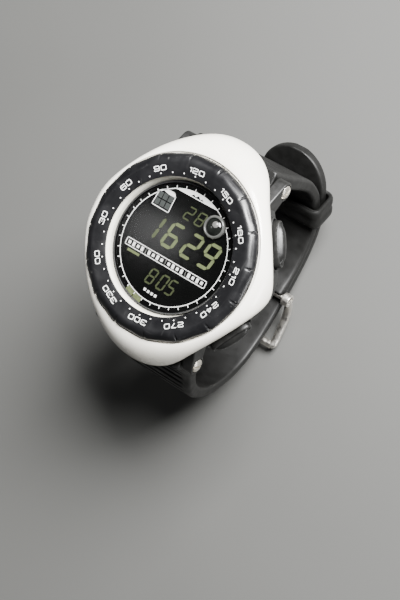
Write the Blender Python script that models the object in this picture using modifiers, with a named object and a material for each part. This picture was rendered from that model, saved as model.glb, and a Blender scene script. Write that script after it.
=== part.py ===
"""Wrist computer: a digital outdoor watch with a turning bezel, four buttons and a rubber strap.

Metres in the scene, millimetres in the constants. +Z points out of the display, +Y to
12 o'clock, +X to 3 o'clock. The origin is the centre of the case back's outer face.
"""

import math

import bmesh
import bpy
from mathutils import Matrix, Vector

MM = 0.001
GAP = 0.35                      # clearance kept between neighbouring pieces

# plan outline of the cover: a circle with a lobe at each lug and at 3 and 9 o'clock
FLANK_RADIUS = 26.4
LUG_LOBE = 6.4
LUG_LOBE_SPREAD = 33.5          # degrees from the strap's axis
SIDE_LOBE = 2.55
SIDE_LOBE_SPREAD = 20.0         # degrees from the 3 o'clock axis
SKIRT_HIGH = 8.5                # the cover's lower edge over the buttons
SKIRT_LUG_DROP = 5.0            # how much lower that edge runs at the lugs
SKIRT_LUG_SPREAD = 30.8
SKIRT_SIDE_DROP = 2.5           # and at 3 and 9 o'clock
SKIRT_SIDE_SPREAD = 10.0        # degrees, so that the edge clears the buttons
COVER_RIM = (25.35, 12.9)
COVER_WALL = 1.5

# case
RING_STEPS = 40
CAVITY_RADIUS = 17.6
SHELF_RADIUS = 17.0
NECK_OUTER, NECK_INNER, NECK_TOP = 21.4, 19.6, 13.3
BACK_RADIUS, BACK_THICKNESS = 21.6, 1.2
HATCH_RADIUS = 12.8
SCREW_CIRCLE = 19.2
FACE_Z = 11.5                   # top of the display
LENS_RADIUS, LENS_BOTTOM, LENS_TOP = 17.8, 12.4, 13.3
VIAL_CENTRE, VIAL_RADIUS = (8.5, 10.1), 3.1
BEZEL_RADIUS = 25.0

# buttons, along each button's own radius
BUTTON_ANGLES = {"upper_right": 30, "upper_left": 150, "lower_left": 210, "lower_right": 330}
BUTTON_Z = 5.0
PAD_LENGTH, PAD_HEIGHT = 12.5, 4.6
PAD_BACK, PAD_FRONT = 25.3, 29.2
STEM_RADIUS, STEM_END = 1.0, 16.3

# lugs and strap
PIN_Y, PIN_Z = 26.0, 0.3
PIN_RADIUS = 1.0
EAR_INNER, EAR_OUTER = 13.5, 17.0
EAR_RADIUS = 2.75
STRAP_TOP = 2.6
LUG_HALF_WIDTH, STRAP_HALF_WIDTH, TIP_HALF_WIDTH = 13.1, 11.4, 11.0
LUG_THICKNESS, SHORT_THICKNESS, LONG_THICKNESS = 5.6, 3.3, 2.9
LAYER = (SHORT_THICKNESS + LONG_THICKNESS) / 2 + GAP
STATION = 3.0                   # spacing of the strap's cross-sections
SHORT_ROUTE = [
    (26.9, STRAP_TOP), (27.0, -2.0), (28.1, -9.0), (28.9, -17.0), (29.4, -24.0), (29.3, -30.0),
    (27.7, -36.4), (25.4, -40.4), (23.1, -43.6), (20.3, -46.4), (15.8, -48.9), (10.4, -50.2),
    (4.5, -50.5), (0.0, -50.0), (-4.4, -49.1)]
LONG_ROUTE = [
    (-26.9, STRAP_TOP), (-27.3, -2.0), (-30.6, -9.0), (-35.0, -15.5), (-37.5, -21.5),
    (-37.9, -27.3), (-36.7, -33.3), (-33.0, -40.3), (-27.6, -45.9), (-20.5, -49.6),
    (-13.5, -51.5), (-7.0, -52.6), (-2.5, -53.2)]
FREE_END = [(31.5, -39.6), (38.4, -34.6)]   # past the keeper
BAR_Y, BAR_Z, BAR_RADIUS = -4.4, -49.1, 0.9
BAR_END_RADIUS = 1.9            # half the strap's thickness around the buckle bar
KEEPER_FROM_BAR = 28.5          # along the short strap, from the buckle bar
KEEPER_WIDTH, KEEPER_WALL = 8.0, 1.3
HOLE_PITCH, HOLE_LENGTH, HOLE_WIDTH = 6.4, 4.4, 3.0
FIRST_HOLE = -7.5               # y of the hole that the tongue goes through
FRONT_BAR = (-18.8, -57.0)
FRAME_HALF_WIDTH = 13.2         # to the middle of the buckle frame's wire


def clear_scene():
    for item in list(bpy.data.objects):
        bpy.data.objects.remove(item, do_unlink=True)


def collection(name):
    group = bpy.data.collections.new(name)
    bpy.context.scene.collection.children.link(group)
    return group


clear_scene()
PARTS = collection("wrist_computer")
CUTTERS = collection("cutters")


def material(name, colour, roughness, metallic=0.0):
    made = bpy.data.materials.new(name)
    made.use_nodes = True
    shader = made.node_tree.nodes["Principled BSDF"]
    shader.inputs["Base Color"].default_value = (*colour, 1.0)
    shader.inputs["Roughness"].default_value = roughness
    shader.inputs["Metallic"].default_value = metallic
    return made


def place(name, mesh, look, cutter=False):
    item = bpy.data.objects.new(name, mesh)
    (CUTTERS if cutter else PARTS).objects.link(item)
    if cutter:
        item.hide_render = True
        item.display_type = "WIRE"
    else:
        mesh.materials.append(material(name, *look))
    return item


def finish_mesh(name, shape):
    """Turn a bmesh in millimetres into a mesh in metres with outward normals."""
    bmesh.ops.recalc_face_normals(shape, faces=shape.faces)
    bmesh.ops.scale(shape, vec=(MM, MM, MM), verts=shape.verts)
    mesh = bpy.data.meshes.new(name)
    shape.to_mesh(mesh)
    shape.free()
    mesh.shade_smooth()
    mesh.set_sharp_from_angle(angle=math.radians(35))
    return mesh


def turned(name, profile, look, steps=RING_STEPS, solid=False):
    """A profile of (radius, z) running down its outer side; solid ones start and end on the axis."""
    mesh = bpy.data.meshes.new(name)
    points = [(radius * MM, 0.0, z * MM) for radius, z in profile]
    edges = [(i, i + 1) for i in range(len(points) - 1)]
    if not solid:
        edges.append((len(points) - 1, 0))
    mesh.from_pydata(points, edges, [])
    item = place(name, mesh, look)
    screw = item.modifiers.new("turn", "SCREW")
    screw.steps = steps
    screw.render_steps = steps
    screw.use_merge_vertices = True
    screw.merge_threshold = 0.00001
    return item


def ring(name, inner, outer, bottom, top, look, steps=RING_STEPS):
    return turned(name, [(inner, top), (outer, top), (outer, bottom), (inner, bottom)], look, steps)


def disc(name, radius, bottom, top, look, steps=32, chamfer=0.15):
    profile = [(0, top), (radius - chamfer, top), (radius, top - chamfer),
               (radius, bottom + chamfer), (radius - chamfer, bottom), (0, bottom)]
    return turned(name, profile, look, steps, True)


def torus(name, major, minor, z, look, steps=32, sides=6):
    turn = -2 * math.pi / sides
    circle = [(major + minor * math.cos(i * turn), z + minor * math.sin(i * turn))
              for i in range(sides)]
    return turned(name, circle, look, steps)


def box(name, low, high, look=None, cutter=False, bevel=0.0):
    shape = bmesh.new()
    size = [b - a for a, b in zip(low, high)]
    middle = [(a + b) / 2 for a, b in zip(low, high)]
    matrix = Matrix.Translation(middle) @ Matrix.Diagonal((*size, 1.0))
    bmesh.ops.create_cube(shape, size=1.0, matrix=matrix)
    item = place(name, finish_mesh(name, shape), look, cutter)
    if bevel:
        edge = item.modifiers.new("edge", "BEVEL")
        edge.width = bevel * MM
        edge.segments = 1
    return item


def rod(name, start, end, radius, look=None, cutter=False, sides=16):
    """A plain cylinder between two points."""
    start, end = Vector(start), Vector(end)
    turn = (end - start).to_track_quat("Z", "Y").to_matrix().to_4x4()
    turn = turn @ Matrix.Rotation(math.pi / sides, 4, "Z")
    shape = bmesh.new()
    bmesh.ops.create_cone(shape, cap_ends=True, segments=sides, radius1=radius, radius2=radius,
                          depth=(end - start).length,
                          matrix=Matrix.Translation((start + end) / 2) @ turn)
    return place(name, finish_mesh(name, shape), look, cutter)


def hull(name, points, look=None, cutter=False):
    shape = bmesh.new()
    for point in points:
        shape.verts.new(point)
    made = bmesh.ops.convex_hull(shape, input=shape.verts)
    spare = [v for v in made["geom_interior"] if isinstance(v, bmesh.types.BMVert)]
    bmesh.ops.delete(shape, geom=spare, context="VERTS")
    bmesh.ops.dissolve_limit(shape, angle_limit=0.001, verts=shape.verts, edges=shape.edges)
    return place(name, finish_mesh(name, shape), look, cutter)


def boolean(item, other, operation="DIFFERENCE"):
    step = item.modifiers.new(operation.lower(), "BOOLEAN")
    step.operation = operation
    step.object = other


def turned_to(item, angle, radius=0.0, z=0.0):
    """Put a piece that was made along +X from the origin at a clock position."""
    item.matrix_world = (Matrix.Rotation(math.radians(angle), 4, "Z")
                         @ Matrix.Translation((radius * MM, 0, z * MM)))


# ---------------------------------------------------------------- case and cover

def outline(angle):
    """Plan radius of the cover at a clock angle, in degrees from 12."""
    angle = abs((angle + 90) % 180 - 90)
    lug = math.exp(-(angle / LUG_LOBE_SPREAD) ** 2.4)
    side = math.exp(-((90 - angle) / SIDE_LOBE_SPREAD) ** 2)
    return FLANK_RADIUS + LUG_LOBE * lug + SIDE_LOBE * side


def skirt(angle):
    """Height of the cover's lower edge at a clock angle."""
    angle = abs((angle + 90) % 180 - 90)
    lug = math.exp(-(angle / SKIRT_LUG_SPREAD) ** 4)
    side = math.exp(-((90 - angle) / SKIRT_SIDE_SPREAD) ** 2)
    return SKIRT_HIGH - SKIRT_LUG_DROP * lug - SKIRT_SIDE_DROP * side


def bezier(points, count):
    a, b, c, d = (Vector(p) for p in points)
    curve = []
    for i in range(count + 1):
        t = i / count
        curve.append(a * (1 - t) ** 3 + b * 3 * t * (1 - t) ** 2 + c * 3 * t * t * (1 - t) + d * t ** 3)
    return [tuple(p) for p in curve]


def cover_curve(angle, inset=0.0, drop=0.0):
    """The cover's outer surface at one angle, or a curve inside it."""
    radius, edge = outline(angle), skirt(angle)
    grow = radius - FLANK_RADIUS
    shoulder = (COVER_RIM[0] + 0.8 + 0.36 * grow, COVER_RIM[1] - 0.3)
    belly = (radius + 0.9 - 0.2 * grow, edge + 2.0 + 0.5 * (SKIRT_HIGH - edge))
    points = [COVER_RIM, shoulder, belly, (radius, edge)]
    return [(r - inset, z - drop) for r, z in points]


def loft_ring(name, section, look):
    """Sections given by a function of the clock angle, joined all the way round."""
    shape = bmesh.new()
    loops = []
    for step in range(RING_STEPS):
        angle = 360 * (step + 0.5) / RING_STEPS
        across, along = math.sin(math.radians(angle)), math.cos(math.radians(angle))
        loops.append([shape.verts.new((r * across, r * along, z)) for r, z in section(angle)])
    for here, there in zip(loops, loops[1:] + loops[:1]):
        for i in range(len(here)):
            j = (i + 1) % len(here)
            shape.faces.new((here[i], here[j], there[j], there[i]))
    return place(name, finish_mesh(name, shape), look)


def cover_section(angle):
    outer = bezier(cover_curve(angle), 7)
    inner = cover_curve(angle, COVER_WALL)
    inner[0] = (24.2, 11.2)
    inner[1] = (inner[1][0] + 0.3, inner[1][1] - 1.5)
    inner[2] = (inner[2][0] - 0.2, inner[2][1] - 0.6)
    return outer + bezier(inner, 5)[::-1] + [(23.0, 11.2), (23.0, 12.2), (25.3, 12.2)]


def body_section(angle):
    edge = skirt(angle) - GAP
    wall = 25.3 + 0.9 * (outline(angle) - FLANK_RADIUS)
    under = cover_curve(angle, COVER_WALL + 0.8, 0.4)
    under[0] = (22.6, 10.8)
    under[1] = (under[1][0] + 0.2, under[1][1] - 1.6)
    under[2] = (under[2][0] - 0.2, under[2][1] - 0.6)
    under[3] = (under[3][0], edge)
    bottom = BACK_THICKNESS + GAP
    return bezier(under, 4) + [
        (wall, edge), (wall, 1.4), (wall - 1.3, 0.0),
        (BACK_RADIUS + 0.3, 0.0), (BACK_RADIUS + 0.3, bottom), (21.5, bottom), (21.5, 2.4),
        (20.4, 2.4), (20.4, bottom), (CAVITY_RADIUS, bottom),
        (CAVITY_RADIUS, 9.5), (SHELF_RADIUS, 9.5), (SHELF_RADIUS, 10.25), (NECK_INNER, 10.25),
        (NECK_INNER, NECK_TOP), (NECK_OUTER, NECK_TOP), (NECK_OUTER, 10.8)]


def stadium(length, height, near, far, sides=6):
    """Points of a bar with round ends, long in Y, tall in Z, from near to far along X."""
    points = []
    for end in (-1, 1):
        for i in range(sides + 1):
            turn = math.pi * i / sides
            y = end * ((length - height) / 2 + height / 2 * math.sin(turn))
            z = height / 2 * math.cos(turn)
            points += [(near, y, z), (far, y, z)]
    return points


def add_collars(case):
    for name, angle in BUTTON_ANGLES.items():
        collar = hull("collar_" + name, stadium(14.4, 6.2, 22.6, 26.3), cutter=True)
        turned_to(collar, angle, z=BUTTON_Z)
        boolean(case, collar, "UNION")
    for name, angle in BUTTON_ANGLES.items():
        recess = hull("recess_" + name, stadium(PAD_LENGTH + 0.6, PAD_HEIGHT + 0.6, 24.3, 30.0),
                      cutter=True)
        bores = [recess]
        for label, radius, near, far in (("stem", 1.3, 15.0, 26.0), ("spring", 2.2, 21.8, 26.0),
                                         ("gland", 2.2, 15.0, 19.9)):
            bores.append(rod("%s_bore_%s" % (label, name), (near, 0, 0), (far, 0, 0), radius,
                             cutter=True))
        for bore in bores:
            turned_to(bore, angle, z=BUTTON_Z)
            boolean(case, bore)


def add_lugs(case):
    """Two ears at each end, the seat of the strap between them and the holes of its pin."""
    for end in (-1, 1):
        for side in (-1, 1):
            points = []
            for x in ((EAR_INNER - 0.4) * side, EAR_OUTER * side):
                points += [(x, end * 17.4, 1.9), (x, end * 17.4, 6.6), (x, end * 22.0, 6.4)]
                for i in range(16):
                    turn = 2 * math.pi * i / 16
                    points.append((x, end * (PIN_Y + EAR_RADIUS * math.cos(turn)),
                                   PIN_Z + EAR_RADIUS * math.sin(turn)))
            ear = hull("ear_%d_%d" % (end, side), points, cutter=True)
            boolean(case, ear, "UNION")
        seat = box("seat_%d" % end, (-EAR_INNER, min(end * 22.9, end * 36), -6),
                   (EAR_INNER, max(end * 22.9, end * 36), STRAP_TOP + GAP), cutter=True)
        boolean(case, seat)
        hole = rod("lug_hole_%d" % end, (-22, end * PIN_Y, PIN_Z), (22, end * PIN_Y, PIN_Z), 1.3,
                   cutter=True)
        boolean(case, hole)
        for side in (-1, 1):
            sink = rod("lug_sink_%d_%d" % (end, side), (side * (EAR_OUTER - 1.4), end * PIN_Y, PIN_Z),
                       (side * 22, end * PIN_Y, PIN_Z), 2.3, cutter=True)
            boolean(case, sink)


def make_case():
    loft_ring("top_cover", cover_section, ((0.80, 0.78, 0.70), 0.28))
    case = loft_ring("case_body", body_section, ((0.035, 0.035, 0.034), 0.45))
    add_collars(case)
    add_lugs(case)
    port = rod("pressure_port", (-30, 0, 5.0), (-20, 0, 5.0), 0.8, cutter=True, sides=12)
    pocket = rod("sensor_pocket", (-22.6, 0, 5.0), (-15, 0, 5.0), 2.6, cutter=True)
    boolean(case, port)
    boolean(case, pocket)
    for number in range(4):
        angle = 45 + 90 * number
        thread = rod("back_thread_%d" % number, (SCREW_CIRCLE, 0, 0), (SCREW_CIRCLE, 0, 5.0), 0.9,
                     cutter=True, sides=16)
        turned_to(thread, angle)
        boolean(case, thread)


def make_back():
    plate = ring("case_back", HATCH_RADIUS + 0.3, BACK_RADIUS, 0.0, BACK_THICKNESS,
                 ((0.42, 0.42, 0.42), 0.35, 0.9))
    ring("case_gasket", 20.7, 21.2, 1.6, 2.1, ((0.02, 0.02, 0.02), 0.7), 32)
    for number in range(4):
        angle = 45 + 90 * number
        sink = rod("back_sink_%d" % number, (SCREW_CIRCLE, 0, -1), (SCREW_CIRCLE, 0, 3), 1.4,
                   cutter=True, sides=16)
        turned_to(sink, angle)
        boolean(plate, sink)
        profile = [(0, 4.4), (0.6, 4.4), (0.6, 0.9), (1.1, 0.9), (1.1, 0.05), (0, 0.05)]
        screw = turned("case_screw_%d" % (number + 1), profile, ((0.5, 0.5, 0.5), 0.3, 1.0), 16, True)
        turned_to(screw, angle, SCREW_CIRCLE)
        slot = box("case_screw_slot_%d" % number, (-1.4, -0.18, -1), (1.4, 0.18, 0.45), cutter=True)
        turned_to(slot, angle, SCREW_CIRCLE)
        boolean(screw, slot)
    notch = box("bayonet_notch", (-15.0, -3.4, -1), (15.0, 3.4, 3), cutter=True)
    boolean(plate, notch)


def make_hatch():
    """The battery hatch turns in the case back; two tabs hold it behind the plate."""
    inner = BACK_THICKNESS + GAP
    profile = [(0, 2.1), (14.3, 2.1), (14.3, inner), (HATCH_RADIUS, inner), (HATCH_RADIUS, 1.25),
               (12.0, 1.25), (12.0, 0.3), (HATCH_RADIUS, 0.3), (HATCH_RADIUS, 0.0), (0, 0.0)]
    hatch = turned("battery_cover", profile, ((0.33, 0.33, 0.34), 0.4, 0.9), 32, True)
    for side in (-1, 1):
        trim = box("tab_trim_%d" % side, (min(side * 3.0, side * 16), -16, inner - 0.05),
                   (max(side * 3.0, side * 16), 16, 3), cutter=True)
        boolean(hatch, trim)
        low, high = sorted((side * 3.6, side * 10.6))
        slot = box("coin_slot_%d" % side, (low, -0.8, -1), (high, 0.8, 0.7), cutter=True)
        boolean(hatch, slot)
    torus("battery_cover_gasket", 12.58, 0.22, 0.77, ((0.02, 0.02, 0.02), 0.7))


def make_module():
    """Everything between the hatch and the display."""
    disc("battery", 12.2, 2.5, 5.5, ((0.6, 0.6, 0.6), 0.25, 1.0), chamfer=0.4)
    ring("module_frame", 12.6, 14.6, 2.5, 7.5, ((0.75, 0.75, 0.72), 0.6), 32)
    box("battery_contact", (-9.0, -1.5, 5.85), (9.0, 1.5, 6.1), ((0.75, 0.65, 0.35), 0.3, 1.0))
    disc("circuit_board", 14.4, 7.9, 8.7, ((0.03, 0.22, 0.10), 0.5))
    box("processor_chip", (-4.0, 2.0, 6.5), (4.0, 9.0, 7.55), ((0.02, 0.02, 0.02), 0.5))
    box("compass_sensor", (4.0, -7.5, 6.5), (7.5, -4.0, 7.55), ((0.03, 0.03, 0.03), 0.5))
    buzzer = disc("buzzer", 3.5, 6.5, 7.5, ((0.7, 0.6, 0.3), 0.3, 1.0), 20)
    buzzer.location = (-6.0 * MM, -4.5 * MM, 0)
    rod("pressure_sensor", (-22.2, 0, 5.0), (-16.4, 0, 5.0), 2.25, ((0.6, 0.6, 0.62), 0.3, 1.0))
    for side, name in ((1, "upper"), (-1, "lower")):
        low, high = sorted((side * 10.9, side * 12.5))
        box("display_connector_" + name, (-9.0, low, 9.0), (9.0, high, 10.25),
            ((0.25, 0.25, 0.25), 0.8))
    box("backlight_panel", (-11.5, -9.8, 9.1), (11.5, 9.8, 9.8), ((0.55, 0.75, 0.70), 0.4))
    disc("lcd_panel", 17.6, 10.6, FACE_Z, ((0.012, 0.014, 0.014), 0.15))


def make_glass():
    ring("lens_gasket", 17.25, 17.7, 11.8, 12.1, ((0.02, 0.02, 0.02), 0.6), 32)
    lens = disc("lens", LENS_RADIUS, LENS_BOTTOM, LENS_TOP, ((0.9, 0.95, 0.95), 0.03), RING_STEPS)
    x, y = VIAL_CENTRE
    hole = rod("vial_hole", (x, y, 11), (x, y, 15), VIAL_RADIUS + 0.3, cutter=True, sides=24)
    boolean(lens, hole)
    dome = [(0, 13.9), (1.4, 13.75), (2.4, 13.3), (2.9, 12.9), (VIAL_RADIUS, 12.8),
            (VIAL_RADIUS, 12.0), (0, 12.0)]
    vial = turned("level_vial", dome, ((0.6, 0.7, 0.65), 0.05), 24, True)
    vial.location = (x * MM, y * MM, 0)
    turned("inner_ring", [(18.85, 14.1), (19.3, 14.1), (19.3, 10.6), (17.95, 10.6), (17.95, 11.6)],
           ((0.72, 0.70, 0.62), 0.35))


def make_bezel():
    profile = [(19.0, 14.75), (19.6, 14.95), (21.6, 15.35), (22.7, 15.35), (23.7, 15.05),
               (24.5, 14.5), (BEZEL_RADIUS, 13.75), (BEZEL_RADIUS, 12.95), (24.6, 12.6),
               (22.4, 12.6), (22.4, 13.7), (19.0, 14.45)]
    turned("bezel_ring", profile, ((0.03, 0.03, 0.033), 0.32))
    torus("bezel_spring", 21.9, 0.16, 12.95, ((0.6, 0.6, 0.6), 0.3, 1.0), RING_STEPS, 5)


# ---------------------------------------------------------------- buttons

def spring_coil(name, near, far, radius, wire, turns, look):
    """A round wire wound along +X."""
    per_turn = 6
    count = turns * per_turn
    curve = bpy.data.curves.new(name, "CURVE")
    curve.dimensions = "3D"
    curve.bevel_depth = wire * MM
    curve.bevel_resolution = 0
    curve.use_fill_caps = True
    line = curve.splines.new("POLY")
    line.points.add(count)
    for i, point in enumerate(line.points):
        turn = 2 * math.pi * i / per_turn
        x = near + wire + (far - near - 2 * wire) * i / count
        point.co = (x * MM, radius * math.cos(turn) * MM, radius * math.sin(turn) * MM, 1)
    item = bpy.data.objects.new(name, curve)
    PARTS.objects.link(item)
    curve.materials.append(material(name, *look))
    return item


def ring_on_x(name, inner, outer, near, far, look):
    item = ring(name, inner, outer, -(far - near) / 2, (far - near) / 2, look, 12)
    return item, Matrix.Translation(((near + far) / 2 * MM, 0, 0)) @ Matrix.Rotation(math.pi / 2, 4, "Y")


def make_buttons():
    dark, steel = ((0.045, 0.045, 0.043), 0.45), ((0.6, 0.6, 0.6), 0.3, 1.0)
    for name, angle in BUTTON_ANGLES.items():
        spot = (Matrix.Translation((0, 0, BUTTON_Z * MM))
                @ Matrix.Rotation(math.radians(angle), 4, "Z"))
        front = stadium(PAD_LENGTH, PAD_HEIGHT, PAD_BACK, PAD_FRONT - 0.9)
        front += stadium(PAD_LENGTH - 1.6, PAD_HEIGHT - 1.4, PAD_BACK, PAD_FRONT)
        pad = hull("button_" + name, front, dark)
        stem = rod("stem_" + name, (STEM_END, 0, 0), (26.5, 0, 0), STEM_RADIUS, cutter=True)
        boolean(pad, stem, "UNION")
        coil = spring_coil("button_spring_" + name, 22.1, 24.95, 1.72, 0.2, 3, steel)
        seal, lie = ring_on_x("button_seal_" + name, 1.32, 1.88, 18.6, 19.4, ((0.02, 0.02, 0.02), 0.7))
        seal.matrix_world = spot @ lie
        clip, lie = ring_on_x("button_clip_" + name, 1.25, 2.7, 16.5, 16.9, steel)
        clip.matrix_world = spot @ lie
        for item in (pad, stem, coil):
            item.matrix_world = spot


# ---------------------------------------------------------------- strap

def smooth_route(points, spacing):
    """Evenly spaced points on a Catmull-Rom curve through the route's points."""
    ends = [tuple(2 * a - b for a, b in zip(points[0], points[1]))]
    ends += points + [tuple(2 * a - b for a, b in zip(points[-1], points[-2]))]
    fine = []
    for a, b, c, d in zip(ends, ends[1:], ends[2:], ends[3:]):
        a, b, c, d = (Vector(p) for p in (a, b, c, d))
        for i in range(20):
            t = i / 20
            fine.append(0.5 * (2 * b + (c - a) * t + (2 * a - 5 * b + 4 * c - d) * t ** 2
                               + (3 * b - a - 3 * c + d) * t ** 3))
    fine.append(Vector(points[-1]))
    lengths = [0.0]
    for a, b in zip(fine, fine[1:]):
        lengths.append(lengths[-1] + (b - a).length)
    count = max(2, round(lengths[-1] / spacing))
    route, k = [], 0
    for i in range(count + 1):
        want = lengths[-1] * i / count
        while k < len(fine) - 2 and lengths[k + 1] < want:
            k += 1
        share = (want - lengths[k]) / (lengths[k + 1] - lengths[k])
        route.append(fine[k].lerp(fine[k + 1], share))
    return route, lengths[-1] / count


def frame_at(route, index, side):
    """Direction along the route and away from the wrist, in the YZ plane."""
    ahead = route[min(index + 1, len(route) - 1)] - route[max(index - 1, 0)]
    ahead.normalize()
    return ahead, Vector((-ahead.y, ahead.x)) * side


def rounded_section(half_width, half_thickness):
    corner = min(1.1, 0.6 * half_thickness)
    points = []
    for quarter, (across, out) in enumerate(((1, 1), (-1, 1), (-1, -1), (1, -1))):
        for i in range(3):
            turn = math.pi / 2 * (quarter + i / 2)
            points.append((across * (half_width - corner) + corner * math.cos(turn),
                           out * (half_thickness - corner) + corner * math.sin(turn)))
    return points


def ease(value, low, high):
    t = min(1.0, max(0.0, (value - low) / (high - low)))
    return t * t * (3 - 2 * t)


def strap(name, route, step, side, size_at, look):
    """Loft the strap; size_at(distance, length) gives its half width and half thickness."""
    shape = bmesh.new()
    loops = []
    length = step * (len(route) - 1)
    for index, spot in enumerate(route):
        out = frame_at(route, index, side)[1]
        section = rounded_section(*size_at(index * step, length))
        loops.append([shape.verts.new((x, spot.x + n * out.x, spot.y + n * out.y))
                      for x, n in section])
    for here, there in zip(loops, loops[1:]):
        for i in range(len(here)):
            j = (i + 1) % len(here)
            shape.faces.new((here[i], here[j], there[j], there[i]))
    shape.faces.new(loops[0])
    shape.faces.new(loops[-1])
    return place(name, finish_mesh(name, shape), look)


def lug_size(distance):
    width = LUG_HALF_WIDTH + (STRAP_HALF_WIDTH - LUG_HALF_WIDTH) * ease(distance, 8, 32)
    return width, LUG_THICKNESS / 2 + (1.95 - LUG_THICKNESS / 2) * ease(distance, 2, 14)


def short_size(distance, length):
    width, half = lug_size(distance)
    half += (SHORT_THICKNESS / 2 - 1.95) * ease(distance, 24, 36)
    return width, half + (BAR_END_RADIUS - SHORT_THICKNESS / 2) * ease(distance, length - 6, length - 2)


def long_size(distance, length):
    width, half = lug_size(distance)
    half += (LONG_THICKNESS / 2 - 1.95) * ease(distance, 24, 44)
    width += (TIP_HALF_WIDTH - STRAP_HALF_WIDTH) * ease(distance, 50, 100)
    left = length - distance
    if left < TIP_HALF_WIDTH:
        width *= math.sqrt(max(0.04, 1 - (1 - left / TIP_HALF_WIDTH) ** 2))
    return width, half


def layered_points(route, step, distances):
    """Points on the long strap's route, over the short strap, by distance from the bar."""
    points = []
    for distance in distances:
        index = len(route) - 1 - round(distance / step)
        out = frame_at(route, index, 1)[1]
        points.append(tuple(route[index] + out * LAYER))
    return points


def strap_holes(item, route, side):
    """Adjusting holes at an even pitch, the first one over the tongue."""
    start = next(i for i, spot in enumerate(route) if spot.x > FIRST_HOLE and spot.y < -40)
    last = Vector(route[start])
    number = 0
    for index in range(start, len(route) - 5):
        spot = route[index]
        if number and (spot - last).length < HOLE_PITCH:
            continue
        if number in (5, 6):
            number += 1
            last = spot
            continue
        ahead, out = frame_at(route, index, side)
        length = HOLE_LENGTH + (2.0 if number == 0 else 0.0)
        hole = box("strap_hole_%d" % number, (-HOLE_WIDTH / 2, -length / 2, -3.5),
                   (HOLE_WIDTH / 2, length / 2, 3.5), cutter=True)
        turn = Matrix(((1, 0, 0), (0, ahead.x, out.x), (0, ahead.y, out.y))).to_4x4()
        hole.matrix_world = Matrix.Translation((0, spot.x * MM, spot.y * MM)) @ turn
        boolean(item, hole)
        last = spot
        number += 1


def make_keeper(route, step):
    index = len(route) - 1 - round(KEEPER_FROM_BAR / step)
    ahead, out = frame_at(route, index, 1)
    middle = route[index] + out * (LONG_THICKNESS + GAP) / 2
    half_wide, half_tall = STRAP_HALF_WIDTH + 0.6, (SHORT_THICKNESS + LONG_THICKNESS + GAP) / 2 + 0.6
    half = KEEPER_WIDTH / 2
    keeper = box("strap_keeper", (-half_wide - KEEPER_WALL, -half, -half_tall - KEEPER_WALL),
                 (half_wide + KEEPER_WALL, half, half_tall + KEEPER_WALL),
                 ((0.03, 0.03, 0.03), 0.55), bevel=0.7)
    window = box("keeper_window", (-half_wide, -half - 1, -half_tall),
                 (half_wide, half + 1, half_tall), cutter=True)
    turn = Matrix(((1, 0, 0), (0, ahead.x, out.x), (0, ahead.y, out.y))).to_4x4()
    for item in (keeper, window):
        item.matrix_world = Matrix.Translation((0, middle.x * MM, middle.y * MM)) @ turn
    boolean(keeper, window)


def tube(name, points, radius, look, resolution):
    """A closed round tube through the points, as a mesh so that it can be cut or joined."""
    curve = bpy.data.curves.new(name, "CURVE")
    curve.dimensions = "3D"
    curve.bevel_depth = radius * MM
    curve.bevel_resolution = resolution
    curve.use_fill_caps = True
    line = curve.splines.new("POLY")
    line.points.add(len(points) - 1)
    for point, place_at in zip(line.points, points):
        point.co = (*(c * MM for c in place_at), 1)
    guide = bpy.data.objects.new(name + "_route", curve)
    CUTTERS.objects.link(guide)
    mesh = bpy.data.meshes.new_from_object(guide.evaluated_get(bpy.context.evaluated_depsgraph_get()))
    bpy.data.objects.remove(guide, do_unlink=True)
    shape = bmesh.new()
    shape.from_mesh(mesh)
    bmesh.ops.remove_doubles(shape, verts=shape.verts, dist=0.000001)
    bmesh.ops.recalc_face_normals(shape, faces=shape.faces)
    shape.to_mesh(mesh)
    shape.free()
    mesh.name = name
    return place(name, mesh, look)


def on_bar(item):
    """Move a piece's origin onto the buckle bar, its hinge."""
    shift = Vector((0, BAR_Y * MM, BAR_Z * MM))
    item.data.transform(Matrix.Translation(-shift))
    item.location = shift


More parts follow.
